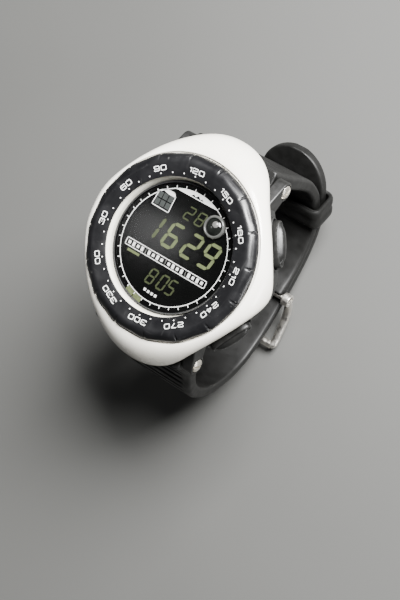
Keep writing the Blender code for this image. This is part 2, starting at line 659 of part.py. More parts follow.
def make_buckle():
    steel = ((0.62, 0.60, 0.56), 0.22, 1.0)
    rod("buckle_bar", (-13.8, BAR_Y, BAR_Z), (13.8, BAR_Y, BAR_Z), BAR_RADIUS, steel)
    arm = [(BAR_Y, BAR_Z), (-5.8, -52.1), (-8.8, -54.7), (-13.4, -56.2), FRONT_BAR]
    side = smooth_route(arm, 1.6)[0]
    points = [(-FRAME_HALF_WIDTH, p.x, p.y) for p in side[:-1]]
    points += [(-FRAME_HALF_WIDTH + 0.6, FRONT_BAR[0] - 0.8, FRONT_BAR[1]),
               (-FRAME_HALF_WIDTH + 2.0, FRONT_BAR[0] - 1.3, FRONT_BAR[1])]
    points += [(-x, y, z) for x, y, z in points[::-1]]
    frame = tube("buckle_frame", points, 1.15, steel, 3)
    on_bar(frame)
    for side in (-1, 1):
        low, high = sorted((side * 12.0, side * 14.4))
        eye = rod("frame_eye_%d" % side, (low, 0, 0), (high, 0, 0), 2.0, cutter=True)
        eye.location = frame.location
        boolean(frame, eye, "UNION")
    bore = rod("frame_bore", (-18, 0, 0), (18, 0, 0), BAR_RADIUS + 0.3, cutter=True)
    bore.location = frame.location
    boolean(frame, bore)
    over = FRONT_BAR[1] - 1.15 - GAP - 0.8
    finger = [(BAR_Y - 0.6, BAR_Z - 1.3), (-6.4, -52.9), (-9.2, -56.5), (-13.6, -58.6),
              (FRONT_BAR[0] - 1.0, over), (FRONT_BAR[0] - 2.6, over + 0.1)]
    route = smooth_route(finger, 1.5)[0]
    tongue = tube("buckle_tongue", [(0, p.x, p.y) for p in route], 0.8, steel, 2)
    on_bar(tongue)
    hub = rod("tongue_hub", (-1.25, 0, 0), (1.25, 0, 0), 1.85, cutter=True)
    hub_bore = rod("tongue_bore", (-3, 0, 0), (3, 0, 0), BAR_RADIUS + 0.3, cutter=True)
    hub.location = tongue.location
    hub_bore.location = tongue.location
    boolean(tongue, hub, "UNION")
    boolean(tongue, hub_bore)


def make_strap():
    rubber = ((0.03, 0.03, 0.03), 0.55)
    route, step = smooth_route(SHORT_ROUTE, STATION)
    short = strap("strap_short", route, step, 1, short_size, rubber)
    over = layered_points(route, step, (6.0, 12.0, 18.0, 24.0, KEEPER_FROM_BAR))
    far_route, far_step = smooth_route(LONG_ROUTE + over + FREE_END, STATION)
    far = strap("strap_long", far_route, far_step, -1, long_size, rubber)
    for item, end in ((short, 1), (far, -1)):
        bore = rod("strap_bore_%d" % end, (-20, end * PIN_Y, PIN_Z), (20, end * PIN_Y, PIN_Z),
                   PIN_RADIUS + 0.3, cutter=True)
        boolean(item, bore)
    bar_bore = rod("bar_bore", (-20, BAR_Y, BAR_Z), (20, BAR_Y, BAR_Z), BAR_RADIUS + 0.3, cutter=True)
    tongue_gap = box("tongue_gap", (-1.65, BAR_Y - 4, BAR_Z - 4), (1.65, BAR_Y + 2.6, BAR_Z + 4),
                     cutter=True)
    boolean(short, bar_bore)
    boolean(short, tongue_gap)
    strap_holes(far, far_route, -1)
    make_keeper(route, step)


def make_lug_hardware():
    steel = ((0.62, 0.60, 0.56), 0.25, 1.0)
    for end, label in ((1, "upper"), (-1, "lower")):
        y = end * PIN_Y
        rod("lug_pin_" + label, (-14.0, y, PIN_Z), (14.0, y, PIN_Z), PIN_RADIUS, steel)
        for side, hand in ((1, "right"), (-1, "left")):
            profile = [(0, 16.95), (1.75, 16.95), (2.0, 16.7), (2.0, 15.9), (1.0, 15.9), (1.0, 14.3),
                       (0, 14.3)]
            screw = turned("lug_screw_%s_%s" % (label, hand), profile, steel, 16, True)
            spot = (Matrix.Translation((0, y * MM, PIN_Z * MM))
                    @ Matrix.Rotation(side * math.pi / 2, 4, "Y"))
            slot = box("lug_screw_slot_%s_%s" % (label, hand), (-3, -0.3, 16.4), (3, 0.3, 18),
                       cutter=True)
            screw.matrix_world = spot
            slot.matrix_world = spot
            boolean(screw, slot)


make_case()
make_back()
make_hatch()
make_module()
make_glass()
make_bezel()
make_buttons()
make_strap()
make_buckle()
make_lug_hardware()
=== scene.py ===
"""Looks of the wrist computer: fine shells, printed dial, display digits, ribbed strap and buckle.

Lengths in the constants are millimetres; MM turns them into the scene's metres.
"""

import math

import bmesh
import bpy
from mathutils import Matrix, Vector


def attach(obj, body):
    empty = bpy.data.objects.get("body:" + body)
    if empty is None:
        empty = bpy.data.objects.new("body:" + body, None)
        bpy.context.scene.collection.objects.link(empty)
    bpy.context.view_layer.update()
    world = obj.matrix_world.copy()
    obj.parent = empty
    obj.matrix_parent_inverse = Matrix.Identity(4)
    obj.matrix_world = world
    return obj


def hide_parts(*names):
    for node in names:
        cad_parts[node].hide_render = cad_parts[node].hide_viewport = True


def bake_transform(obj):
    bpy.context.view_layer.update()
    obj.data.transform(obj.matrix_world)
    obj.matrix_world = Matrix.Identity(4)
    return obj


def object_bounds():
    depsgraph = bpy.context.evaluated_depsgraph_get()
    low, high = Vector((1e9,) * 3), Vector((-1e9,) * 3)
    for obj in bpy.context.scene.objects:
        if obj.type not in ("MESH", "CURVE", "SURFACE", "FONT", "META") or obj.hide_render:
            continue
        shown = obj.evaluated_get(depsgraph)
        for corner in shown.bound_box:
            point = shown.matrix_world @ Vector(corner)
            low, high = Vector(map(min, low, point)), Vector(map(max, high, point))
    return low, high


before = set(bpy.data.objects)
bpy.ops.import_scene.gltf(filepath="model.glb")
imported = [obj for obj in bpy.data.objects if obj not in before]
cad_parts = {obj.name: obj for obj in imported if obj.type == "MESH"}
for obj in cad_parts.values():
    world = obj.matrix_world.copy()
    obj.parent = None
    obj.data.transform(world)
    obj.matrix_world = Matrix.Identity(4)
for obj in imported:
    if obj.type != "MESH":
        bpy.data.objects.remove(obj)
CAD_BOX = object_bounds()
MM = 0.001

# the cover's plan and skirt are the CAD's, but for a side lobe 0.25 mm smaller
FLANK_RADIUS, LUG_LOBE, SIDE_LOBE = 26.4, 6.4, 2.3
LUG_LOBE_SPREAD, SIDE_LOBE_SPREAD = 33.5, 20.0
SKIRT_HIGH, SKIRT_LUG_DROP, SKIRT_SIDE_DROP = 8.5, 5.0, 2.5
SKIRT_LUG_SPREAD, SKIRT_SIDE_SPREAD = 30.8, 10.0
COVER_RIM, COVER_WALL = (25.35, 12.9), 1.5
BACK_RADIUS, BACK_THICKNESS, HATCH_RADIUS, SCREW_CIRCLE = 21.6, 1.2, 12.8, 19.2
CAVITY_RADIUS, SHELF_RADIUS = 17.6, 17.0
NECK_OUTER, NECK_INNER, NECK_TOP = 21.4, 19.6, 13.3
FACE_Z = 11.5
LENS_RADIUS, LENS_BOTTOM, LENS_TOP = 17.8, 12.4, 13.3
VIAL_CENTRE, VIAL_RADIUS = (8.5, 10.1), 3.1
BEZEL_RADIUS, BEZEL_ZERO = 25.0, 235.0      # clock angle of the bezel's zero mark
NOTCHES = 16
BUTTON_ANGLES = {"upper_right": 30, "upper_left": 150, "lower_left": 210, "lower_right": 330}
BUTTON_Z = 5.0
PIN_Y, PIN_Z = 26.0, 0.3
EAR_INNER, EAR_OUTER = 13.5, 17.0
EAR_RADIUS = 2.75
STRAP_TOP = 2.6
LUG_HALF_WIDTH, STRAP_HALF_WIDTH, TIP_HALF_WIDTH = 13.1, 11.4, 11.0
LUG_THICKNESS, SHORT_THICKNESS, LONG_THICKNESS = 5.6, 3.3, 2.85      # the CAD's long half is 2.9
LAYER = (SHORT_THICKNESS + LONG_THICKNESS) / 2 + 0.35
SHORT_ROUTE = [
    (26.9, STRAP_TOP), (27.0, -2.0), (28.1, -9.0), (28.9, -17.0), (29.4, -24.0), (29.3, -30.0),
    (27.7, -36.4), (25.4, -40.4), (23.1, -43.6), (20.3, -46.4), (15.8, -48.9), (10.4, -50.2),
    (4.5, -50.5), (0.0, -50.0), (-4.4, -49.1)]
LONG_ROUTE = [
    (-26.9, STRAP_TOP), (-27.3, -2.0), (-30.6, -9.0), (-35.0, -15.5), (-37.5, -21.5),
    (-37.9, -27.3), (-36.7, -33.3), (-33.0, -40.3), (-27.6, -45.9), (-20.5, -49.6),
    (-13.5, -51.5), (-7.0, -52.6), (-2.5, -53.2)]
TIP = (38.4, -34.6)
BAR_Y, BAR_Z, BAR_RADIUS, BAR_END_RADIUS = -4.4, -49.1, 0.9, 1.9
KEEPER_FROM_BAR, KEEPER_WIDTH, KEEPER_WALL = 28.5, 8.0, 1.3
HOLE_PITCH, HOLE_LENGTH, HOLE_WIDTH, FIRST_HOLE = 6.4, 4.4, 3.0, -7.5
FRONT_BAR = (-18.8, -57.0)
AROUND = 240                                # steps round the case


# ---- materials

class Finish:
    """A Principled material whose details are added one call at a time, in object coordinates."""

    def __init__(self, name, colour, roughness, metallic=0.0, **sockets):
        self.material = bpy.data.materials.new(name)
        self.material.use_nodes = True
        self.tree = self.material.node_tree
        self.shader = self.tree.nodes["Principled BSDF"]
        self.shader.inputs["Base Color"].default_value = (*colour, 1)
        self.shader.inputs["Roughness"].default_value = roughness
        self.shader.inputs["Metallic"].default_value = metallic
        for socket, value in sockets.items():
            self.shader.inputs[socket.replace("_", " ")].default_value = value
        self.place = self.tree.nodes.new("ShaderNodeTexCoord").outputs["Object"]
        self.height = None

    def link(self, start, end):
        self.tree.links.new(start, end)

    def noise(self, scale, detail=3.0, stretch=(1, 1, 1)):
        """Noise with `scale` cells a millimetre, drawn out along the axes in `stretch`."""
        spread = self.tree.nodes.new("ShaderNodeMapping")
        spread.inputs["Scale"].default_value = [scale / MM / s for s in stretch]
        self.link(self.place, spread.inputs["Vector"])
        texture = self.tree.nodes.new("ShaderNodeTexNoise")
        texture.inputs["Scale"].default_value = 1.0
        texture.inputs["Detail"].default_value = detail
        self.link(spread.outputs["Vector"], texture.inputs["Vector"])
        return texture.outputs["Fac"]

    def ramp(self, source, low, high, start=0.0, end=1.0):
        node = self.tree.nodes.new("ShaderNodeMapRange")
        for socket, value in (("From Min", low), ("From Max", high), ("To Min", start), ("To Max", end)):
            node.inputs[socket].default_value = value
        self.link(source, node.inputs["Value"])
        return node.outputs["Result"]

    def mix(self, share, colour):
        """Blend the colour so far towards another by a share between 0 and 1."""
        node = self.tree.nodes.new("ShaderNodeMix")
        node.data_type = "RGBA"
        base = self.shader.inputs["Base Color"]
        node.inputs["A"].default_value = base.default_value
        if base.is_linked:
            self.link(base.links[0].from_socket, node.inputs["A"])
        node.inputs["B"].default_value = (*colour, 1)
        self.link(share, node.inputs["Factor"])
        self.link(node.outputs["Result"], base)
        return self

    def mottle(self, colour, scale, low=0.45, high=0.75):
        return self.mix(self.ramp(self.noise(scale), low, high), colour)

    def uneven_gloss(self, low, high, scale, stretch=(1, 1, 1)):
        rough = self.ramp(self.noise(scale, 4.0, stretch), 0.3, 0.7, low, high)
        self.link(rough, self.shader.inputs["Roughness"])
        return self

    def bump(self, scale, depth, detail=2.0, stretch=(1, 1, 1)):
        """Relief `depth` millimetres deep."""
        node = self.tree.nodes.new("ShaderNodeBump")
        node.inputs["Distance"].default_value = depth * MM
        node.inputs["Strength"].default_value = 1.0
        self.link(self.noise(scale, detail, stretch), node.inputs["Height"])
        if self.height:
            self.link(self.height, node.inputs["Normal"])
        self.height = node.outputs["Normal"]
        self.link(self.height, self.shader.inputs["Normal"])
        return self

    def worn_edges(self, colour, low=0.52, high=0.60, patch_scale=0.35):
        """Lighter where the surface is sharply convex, broken up by noise."""
        edge = self.tree.nodes.new("ShaderNodeNewGeometry").outputs["Pointiness"]
        share = self.tree.nodes.new("ShaderNodeMath")
        share.operation = "MULTIPLY"
        self.link(self.ramp(edge, low, high), share.inputs[0])
        self.link(self.ramp(self.noise(patch_scale, 5.0), 0.42, 0.62), share.inputs[1])
        return self.mix(share.outputs["Value"], colour)

    def scratches(self, colour, scale, stretch):
        return self.mix(self.ramp(self.noise(scale, 6.0, stretch), 0.66, 0.74, 0.0, 0.5), colour)


def grey(level):
    return level, level, level


def cover_looks():
    cover = Finish("cover_gloss", (0.90, 0.87, 0.79), 0.22, Coat_Weight=0.35, Coat_Roughness=0.08)
    cover.mottle((0.83, 0.79, 0.69), 0.05).uneven_gloss(0.17, 0.32, 0.25)
    cream = Finish("cream_ring", (0.80, 0.78, 0.68), 0.22, Coat_Weight=0.4)
    cream.mottle((0.70, 0.67, 0.56), 0.12).uneven_gloss(0.16, 0.3, 0.4)
    return {"cover": cover.bump(1.6, 0.004), "cream": cream}


def dark_looks():
    bezel = Finish("bezel_worn", (0.0035, 0.0035, 0.0040), 0.3)
    bezel.mottle((0.0065, 0.0065, 0.0072), 0.15).scratches(grey(0.020), 1.2, (9, 1, 1))
    bezel.scratches(grey(0.018), 1.0, (1, 8, 1)).worn_edges((0.045, 0.045, 0.043), 0.55, 0.68)
    case = Finish("case_black", (0.0050, 0.0050, 0.0047), 0.40)
    case.mottle((0.009, 0.0087, 0.0083), 0.2).worn_edges((0.025, 0.025, 0.024))
    button = Finish("button_satin", (0.006, 0.006, 0.0058), 0.40, Specular_IOR_Level=0.3)
    button.mottle((0.010, 0.010, 0.0095), 0.4).worn_edges((0.030, 0.029, 0.027), 0.52, 0.60)
    rubber = Finish("strap_rubber", (0.0035, 0.0035, 0.0032), 0.5, Specular_IOR_Level=0.32)
    rubber.mottle((0.0062, 0.0062, 0.0057), 0.12).mottle((0.0050, 0.0049, 0.0046), 0.9)
    seal = Finish("seal_rubber", grey(0.02), 0.6)
    return {"bezel": bezel.uneven_gloss(0.26, 0.42, 0.3).bump(4.0, 0.004, 4.0),
            "case": case.uneven_gloss(0.34, 0.52, 0.5).bump(6.0, 0.010),
            "button": button.uneven_gloss(0.26, 0.44, 0.7).bump(6.0, 0.008),
            "rubber": rubber.uneven_gloss(0.40, 0.60, 0.3).bump(5.0, 0.014).bump(0.5, 0.02),
            "seal": seal.mottle(grey(0.035), 0.5).bump(4.0, 0.008)}


def metal_looks():
    steel = Finish("steel_polished", (0.80, 0.77, 0.71), 0.3, 1.0)
    steel.mottle((0.66, 0.63, 0.58), 0.8).uneven_gloss(0.26, 0.46, 0.9)
    brushed = Finish("steel_brushed", (0.55, 0.54, 0.52), 0.32, 1.0)
    brushed.mottle((0.42, 0.41, 0.40), 0.15).uneven_gloss(0.25, 0.42, 3.0, (12, 1, 1))
    brass = Finish("brass_leaf", (0.72, 0.58, 0.28), 0.28, 1.0)
    brass.mottle((0.60, 0.47, 0.22), 0.5).uneven_gloss(0.2, 0.4, 1.0)
    screw = Finish("screw_head", (0.80, 0.76, 0.68), 0.4, 1.0)
    screw.mottle((0.60, 0.56, 0.50), 0.9).uneven_gloss(0.28, 0.5, 1.2)
    return {"steel": steel.bump(3.0, 0.002), "screw": screw.bump(4.0, 0.004),
            "brushed": brushed.bump(5.0, 0.004, 3.0, (16, 1, 1)), "brass": brass}


def print_look(name, colour, darker, roughness=0.45, scale=0.6):
    return Finish(name, colour, roughness).mottle(darker, scale)


def display_looks():
    face = Finish("display_black", (0.0010, 0.0011, 0.0010), 0.12, Specular_IOR_Level=0.25)
    face.mottle((0.0018, 0.0019, 0.0018), 0.08).uneven_gloss(0.10, 0.15, 0.1)
    return {"face": face,
            "white": print_look("print_white", (0.70, 0.70, 0.68), (0.58, 0.58, 0.56), 0.5, 1.2),
            "digit": print_look("digit_green", (0.088, 0.105, 0.046), (0.064, 0.078, 0.033)),
            "dim": print_look("digit_dim", (0.030, 0.037, 0.015), (0.022, 0.027, 0.011)),
            "faint": print_look("digit_faint", (0.048, 0.058, 0.025), (0.036, 0.043, 0.018)),
            "icon": print_look("icon_grey", (0.035, 0.039, 0.037), (0.025, 0.028, 0.027)),
            "vial": print_look("vial_ring", (0.045, 0.046, 0.043), (0.030, 0.031, 0.029), 0.16, 0.9),
            "fluid": print_look("vial_fluid", (0.004, 0.0045, 0.004), (0.008, 0.009, 0.008), 0.05),
            # the air bubble is real, but its light grey is a painted highlight: the light a clear bubble
            # catches
            "bubble_highlight": print_look("vial_bubble", (0.10, 0.10, 0.095), (0.06, 0.06, 0.057), 0.1, 1.0)}


def glass_look():
    glass = Finish("lens_glass", grey(0.002), 0.2, Alpha=0.10, IOR=1.5)
    return {"glass": glass.uneven_gloss(0.08, 0.12, 0.3)}


def inner_looks():
    board = print_look("circuit_green", (0.02, 0.16, 0.07), (0.30, 0.24, 0.10), 0.4, 0.9)
    chip = print_look("chip_epoxy", grey(0.02), grey(0.035), 0.5, 1.0)
    module = print_look("module_natural", (0.62, 0.62, 0.58), (0.54, 0.53, 0.49), 0.5, 0.2)
    glow = print_look("backlight_film", (0.45, 0.66, 0.60), (0.38, 0.58, 0.52), 0.4, 0.3)
    return {"board": board.bump(1.5, 0.01), "chip": chip.bump(8.0, 0.006),
            "module": module.bump(3.0, 0.01), "glow": glow}


def make_materials():
    looks = {}
    for group in (cover_looks, dark_looks, metal_looks, display_looks, glass_look, inner_looks):
        looks.update(group())
    return looks


LOOKS = {name: finish.material for name, finish in make_materials().items()}


# ---- mesh helpers

def shade(mesh, sharp):
    mesh.shade_smooth()
    mesh.set_sharp_from_angle(angle=math.radians(sharp))


def new_object(name, mesh, look):
    item = bpy.data.objects.new(name, mesh)
    bpy.context.scene.collection.objects.link(item)
    mesh.materials.clear()
    mesh.materials.append(LOOKS[look])
    return item


def from_bmesh(name, shape, look, sharp=40):
    bmesh.ops.remove_doubles(shape, verts=shape.verts, dist=0.0005)
    bmesh.ops.recalc_face_normals(shape, faces=shape.faces)
    bmesh.ops.scale(shape, vec=(MM, MM, MM), verts=shape.verts)
    mesh = bpy.data.meshes.new(name)
    shape.to_mesh(mesh)
    shape.free()
    shade(mesh, sharp)
    return new_object(name, mesh, look)


def loft(shape, loops, around=False, caps=False):
    """Skin closed loops of points; `around` joins the last loop to the first."""
    rows = [[shape.verts.new(point) for point in loop] for loop in loops]
    pairs = list(zip(rows, rows[1:] + rows[:1])) if around else list(zip(rows, rows[1:]))
    for here, there in pairs:
        for i in range(len(here)):
            j = (i + 1) % len(here)
            shape.faces.new((here[i], here[j], there[j], there[i]))
    if caps:
        shape.faces.new(rows[0])
        shape.faces.new(rows[-1][::-1])


def rectangle(left, bottom, right, top):
    return [(left, bottom), (right, bottom), (right, top), (left, top)]


def circle(radius, count, centre=(0, 0)):
    turns = [2 * math.pi * i / count for i in range(count)]
    return [(centre[0] + radius * math.cos(t), centre[1] + radius * math.sin(t)) for t in turns]


def polar(radius, clock):
    """The (x, y) point at a clock angle in degrees."""
    turn = math.radians(clock)
    return radius * math.sin(turn), radius * math.cos(turn)


def corner_arc(before, corner, after, radius, arc):
    """The points that round one corner, taking up less than half of either side."""
    corner = Vector(corner)
    to_before, to_after = Vector(before) - corner, Vector(after) - corner
    reach = min(radius, 0.45 * to_before.length, 0.45 * to_after.length)
    start = corner + to_before.normalized() * reach
    end = corner + to_after.normalized() * reach
    shares = [k / arc for k in range(arc + 1)]
    return [start * (1 - t) ** 2 + corner * 2 * t * (1 - t) + end * t * t for t in shares]


def fillet(points, radii, arc=4):
    """Round a closed outline's corners; radii is one number or {index: radius}."""
    rounded = []
    for i, point in enumerate(points):
        radius = radii.get(i, 0) if isinstance(radii, dict) else radii
        if radius:
            after = points[(i + 1) % len(points)]
            rounded += [tuple(p) for p in corner_arc(points[i - 1], point, after, radius, arc)]
        else:
            rounded.append(tuple(point))
    return rounded


def lathe(shape, profile, steps=128, centre=(0, 0)):
    """Turn a closed (radius, z) outline; flat ends become one face each."""
    loops = []
    for step in range(steps):
        angle = 2 * math.pi * step / steps
        c, s = math.cos(angle), math.sin(angle)
        loops.append([(centre[0] + max(r, 0) * c, centre[1] + max(r, 0) * s, z) for r, z in profile])
    loft(shape, loops, around=True)
    bmesh.ops.remove_doubles(shape, verts=shape.verts, dist=0.0005)
    bmesh.ops.dissolve_degenerate(shape, edges=shape.edges, dist=0.0002)
    shape.normal_update()
    hubs = [v for v in shape.verts if len(v.link_faces) > steps / 2
            and all(face.normal.dot(v.link_faces[0].normal) > 0.99999 for face in v.link_faces)]
    bmesh.ops.dissolve_verts(shape, verts=hubs)


def turned(name, profile, look, radius=0.15, steps=128, centre=(0, 0), arc=3):
    """A turned piece with every corner rounded but those on its axis."""
    shape = bmesh.new()
    radii = {i: radius for i, (reach, _) in enumerate(profile) if reach > 0}
    lathe(shape, fillet(profile, radii, arc), steps, centre)
    return from_bmesh(name, shape, look)


def prism(shape, outline, bottom, top, place=None):
    """A flat outline of (x, y) points pushed from bottom to top."""
    place = place or Matrix.Identity(4)
    low = [place @ Vector((x, y, bottom)) for x, y in outline]
    high = [place @ Vector((x, y, top)) for x, y in outline]
    loft(shape, [low, high], caps=True)


def cut_with(item, cutter):
    step = item.modifiers.new("cut", "BOOLEAN")
    step.operation = "DIFFERENCE"
    step.object = cutter
    graph = bpy.context.evaluated_depsgraph_get()
    mesh = bpy.data.meshes.new_from_object(item.evaluated_get(graph))
    item.modifiers.clear()
    old = item.data
    item.data = mesh
    bpy.data.meshes.remove(old)
    bpy.data.objects.remove(cutter, do_unlink=True)


def box_cutter(low, high, place=None):
    shape = bmesh.new()
    prism(shape, rectangle(*low[:2], *high[:2]), low[2], high[2], place)
    return from_bmesh("cutter", shape, "case")


def soften(item, width, segments=3, angle=35):
    step = item.modifiers.new("edge", "BEVEL")
    step.width = width * MM
    step.segments = segments
    step.limit_method = "ANGLE"
    step.angle_limit = math.radians(angle)
    return item


def settle(item, body, *nodes, slot=None):
    """Bind a finished piece to its body, and let it stand for its CAD nodes."""
    item.modifiers.new("even_shading", "WEIGHTED_NORMAL").keep_sharp = True
    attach(item, body)
    if nodes:
        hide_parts(*nodes)
    return item


# ---- case, cover, glass

def outline(angle):
    angle = abs((angle + 90) % 180 - 90)
    lug = math.exp(-(angle / LUG_LOBE_SPREAD) ** 2.4)
    side = math.exp(-((90 - angle) / SIDE_LOBE_SPREAD) ** 2)
    return FLANK_RADIUS + LUG_LOBE * lug + SIDE_LOBE * side


def skirt(angle):
    angle = abs((angle + 90) % 180 - 90)
    lug = math.exp(-(angle / SKIRT_LUG_SPREAD) ** 4)
    side = math.exp(-((90 - angle) / SKIRT_SIDE_SPREAD) ** 2)
    return SKIRT_HIGH - SKIRT_LUG_DROP * lug - SKIRT_SIDE_DROP * side


def bezier(points, count):
    a, b, c, d = (Vector(p) for p in points)
    curve = []
    for i in range(count + 1):
        t = i / count
        curve.append(tuple(a * (1 - t) ** 3 + b * 3 * t * (1 - t) ** 2
                           + c * 3 * t * t * (1 - t) + d * t ** 3))
    return curve


def cover_curve(angle, inset=0.0, drop=0.0):
    radius, edge = outline(angle), skirt(angle)
    grow = radius - FLANK_RADIUS
    shoulder = (COVER_RIM[0] + 0.8 + 0.36 * grow, COVER_RIM[1] - 0.3)
    belly = (radius + 0.9 - 0.2 * grow, edge + 2.0 + 0.5 * (SKIRT_HIGH - edge))
    return [(r - inset, z - drop) for r, z in (COVER_RIM, shoulder, belly, (radius, edge))]


def cover_section(angle):
    outer = bezier(cover_curve(angle), 26)
    inner = cover_curve(angle, COVER_WALL)
    inner[0] = (24.2, 11.2)
    inner[1] = (inner[1][0] + 0.3, inner[1][1] - 1.5)
    inner[2] = (inner[2][0] - 0.2, inner[2][1] - 0.6)
    last = len(outer) - 1
    section = outer + bezier(inner, 8)[::-1] + [(23.0, 11.2), (23.0, 12.2), (25.2, 12.2)]
    return fillet(section, {0: 0.25, last: 0.35, last + 1: 0.3})


def body_section(angle):
    edge = skirt(angle) - 0.35
    wall = 25.3 + 0.9 * (outline(angle) - FLANK_RADIUS)
    under = cover_curve(angle, COVER_WALL + 0.8, 0.4)
    under[0] = (22.6, 10.8)
    under[1] = (under[1][0] + 0.2, under[1][1] - 1.6)
    under[2] = (under[2][0] - 0.2, under[2][1] - 0.6)
    under[3] = (under[3][0], edge)
    floor = BACK_THICKNESS + 0.35
    section = bezier(under, 8)
    first = len(section)
    section += [(wall, edge), (wall + 0.05, (edge + 1.4) / 2), (wall, 1.4), (wall - 1.3, 0.0),
                (BACK_RADIUS + 0.3, 0.0), (BACK_RADIUS + 0.3, floor), (CAVITY_RADIUS, floor),
                (CAVITY_RADIUS, 9.5), (SHELF_RADIUS, 9.5), (SHELF_RADIUS, 10.25), (NECK_INNER, 10.25),
                (NECK_INNER, NECK_TOP), (NECK_OUTER, NECK_TOP), (NECK_OUTER, 10.8)]
    return fillet(section, {first: 0.35, first + 2: 0.5, first + 3: 0.4, first + 4: 0.15})


def ring_of_sections(shape, section):
    loops = []
    for step in range(AROUND):
        angle = 360 * (step + 0.5) / AROUND
        loops.append([(*polar(r, angle), z) for r, z in section(angle)])
    loft(shape, loops, around=True)


def oval(length, height, x, squareness=2.4):
    """A closed outline across the x axis, a little squarer than an ellipse."""
    points = []
    for i in range(96):
        turn = 2 * math.pi * i / 96
        c, v = math.cos(turn), math.sin(turn)
        y = math.copysign(abs(c) ** (2 / squareness), c) * length / 2
        z = math.copysign(abs(v) ** (2 / squareness), v) * height / 2
        points.append((x, y, z))
    return points


def at_button(name):
    return (Matrix.Translation((0, 0, BUTTON_Z))
            @ Matrix.Rotation(math.radians(BUTTON_ANGLES[name]), 4, "Z"))


def stack(shape, layers, place, caps=True):
    loft(shape, [[place @ Vector(p) for p in oval(*layer)] for layer in layers], caps=caps)


def make_cover():
    shape = bmesh.new()
    ring_of_sections(shape, cover_section)
    settle(from_bmesh("cover_shell", shape, "cover"), "watch", "top_cover", slot="cover")


def ear_outline(end):
    points = [(end * 17.4, 1.9), (end * 17.4, 6.6), (end * 22.0, 6.4)]
    start = 62 if end > 0 else 118
    for i in range(25):
        turn = math.radians(start - end * 228 * i / 24)
        points.append((end * PIN_Y + EAR_RADIUS * math.cos(turn), PIN_Z + EAR_RADIUS * math.sin(turn)))
    return points


def make_ear(end, side):
    shape = bmesh.new()
    along_x = Matrix(((0, 0, 1, 0), (1, 0, 0, 0), (0, 1, 0, 0), (0, 0, 0, 1)))
    low, high = sorted((side * EAR_INNER, side * EAR_OUTER))
    prism(shape, ear_outline(end), low, high, along_x)
    ear = soften(from_bmesh("ear", shape, "case"), 0.8, 5)
    sink = bmesh.new()
    low, high = sorted((side * 15.6, side * 22.0))
    prism(sink, circle(2.15, 48, (end * PIN_Y, PIN_Z)), low, high, along_x)
    cut_with(ear, from_bmesh("cutter", sink, "case"))
    return soften(ear, 0.1, 2)


def joined(name, items, look):
    """One object from several, with their modifiers applied."""
    graph = bpy.context.evaluated_depsgraph_get()
    whole = bmesh.new()
    for item in items:
        mesh = bpy.data.meshes.new_from_object(item.evaluated_get(graph))
        mesh.transform(item.matrix_world)
        whole.from_mesh(mesh)
        bpy.data.meshes.remove(mesh)
        bpy.data.objects.remove(item, do_unlink=True)
    mesh = bpy.data.meshes.new(name)
    whole.to_mesh(mesh)
    whole.free()
    shade(mesh, 40)
    return new_object(name, mesh, look)


def make_case():
    shape = bmesh.new()
    ring_of_sections(shape, body_section)
    body = from_bmesh("case_core", shape, "case")
    for end in (-1, 1):
        low, high = sorted((end * 22.9, end * 36))
        cut_with(body, box_cutter((-EAR_INNER, low, -6), (EAR_INNER, high, STRAP_TOP + 0.35)))
    items = [body]
    for name in BUTTON_ANGLES:
        shape = bmesh.new()
        layers = [(14.4, 6.2, 22.6), (14.4, 6.2, 25.7), (14.3, 6.1, 26.05), (14.0, 5.8, 26.25),
                  (13.7, 5.6, 26.3), (13.4, 5.4, 26.2), (13.15, 5.25, 26.0), (13.1, 5.2, 24.3)]
        stack(shape, layers, at_button(name))
        items.append(from_bmesh("collar", shape, "case"))
    for end in (-1, 1):
        for side in (-1, 1):
            items.append(make_ear(end, side))
    settle(joined("case_shell", items, "case"), "watch", "case_body", slot="case")


def make_bezel():
    """A turned ring whose outer slope has sixteen notches and slightly flat runs between them."""
    profile = [(18.45, 14.66), (19.35, 14.86), (21.75, 15.28), (22.25, 15.35), (22.8, 15.33),
               (23.6, 15.08), (24.4, 14.52), (24.85, 13.95), (BEZEL_RADIUS, 13.5), (24.98, 13.0),
               (24.6, 12.6), (22.4, 12.6), (22.4, 13.7), (18.45, 14.42)]
    fine = fillet(profile, {0: 0.12, 1: 0.3, 3: 0.3, 5: 0.5, 6: 0.4, 7: 0.3, 9: 0.2, 10: 0.2, 13: 0.1}, 5)
    steps, half_notch = 1152, 0.9
    shape = bmesh.new()
    loops = []
    for step in range(steps):
        clock = 360 * step / steps
        pitch = 360 / NOTCHES
        off = (clock - BEZEL_ZERO + pitch / 2) % pitch - pitch / 2
        flat = 0.28 * (1 - math.cos(math.radians(off * NOTCHES))) / 2
        depth = 0.32 * max(0.0, 1 - (off / half_notch) ** 2)
        loop = []
        for r, z in fine:
            slope = min(1.0, max(0.0, (r - 23.0) / 1.2)) if z > 12.9 else 0.0
            out = r - (flat + 0.6 * depth) * slope
            loop.append((*polar(out, clock), z - 0.8 * depth * slope))
        loops.append(loop)
    loft(shape, loops, around=True)
    settle(from_bmesh("bezel_shell", shape, "bezel", 60), "bezel", "bezel_ring", slot="bezel")


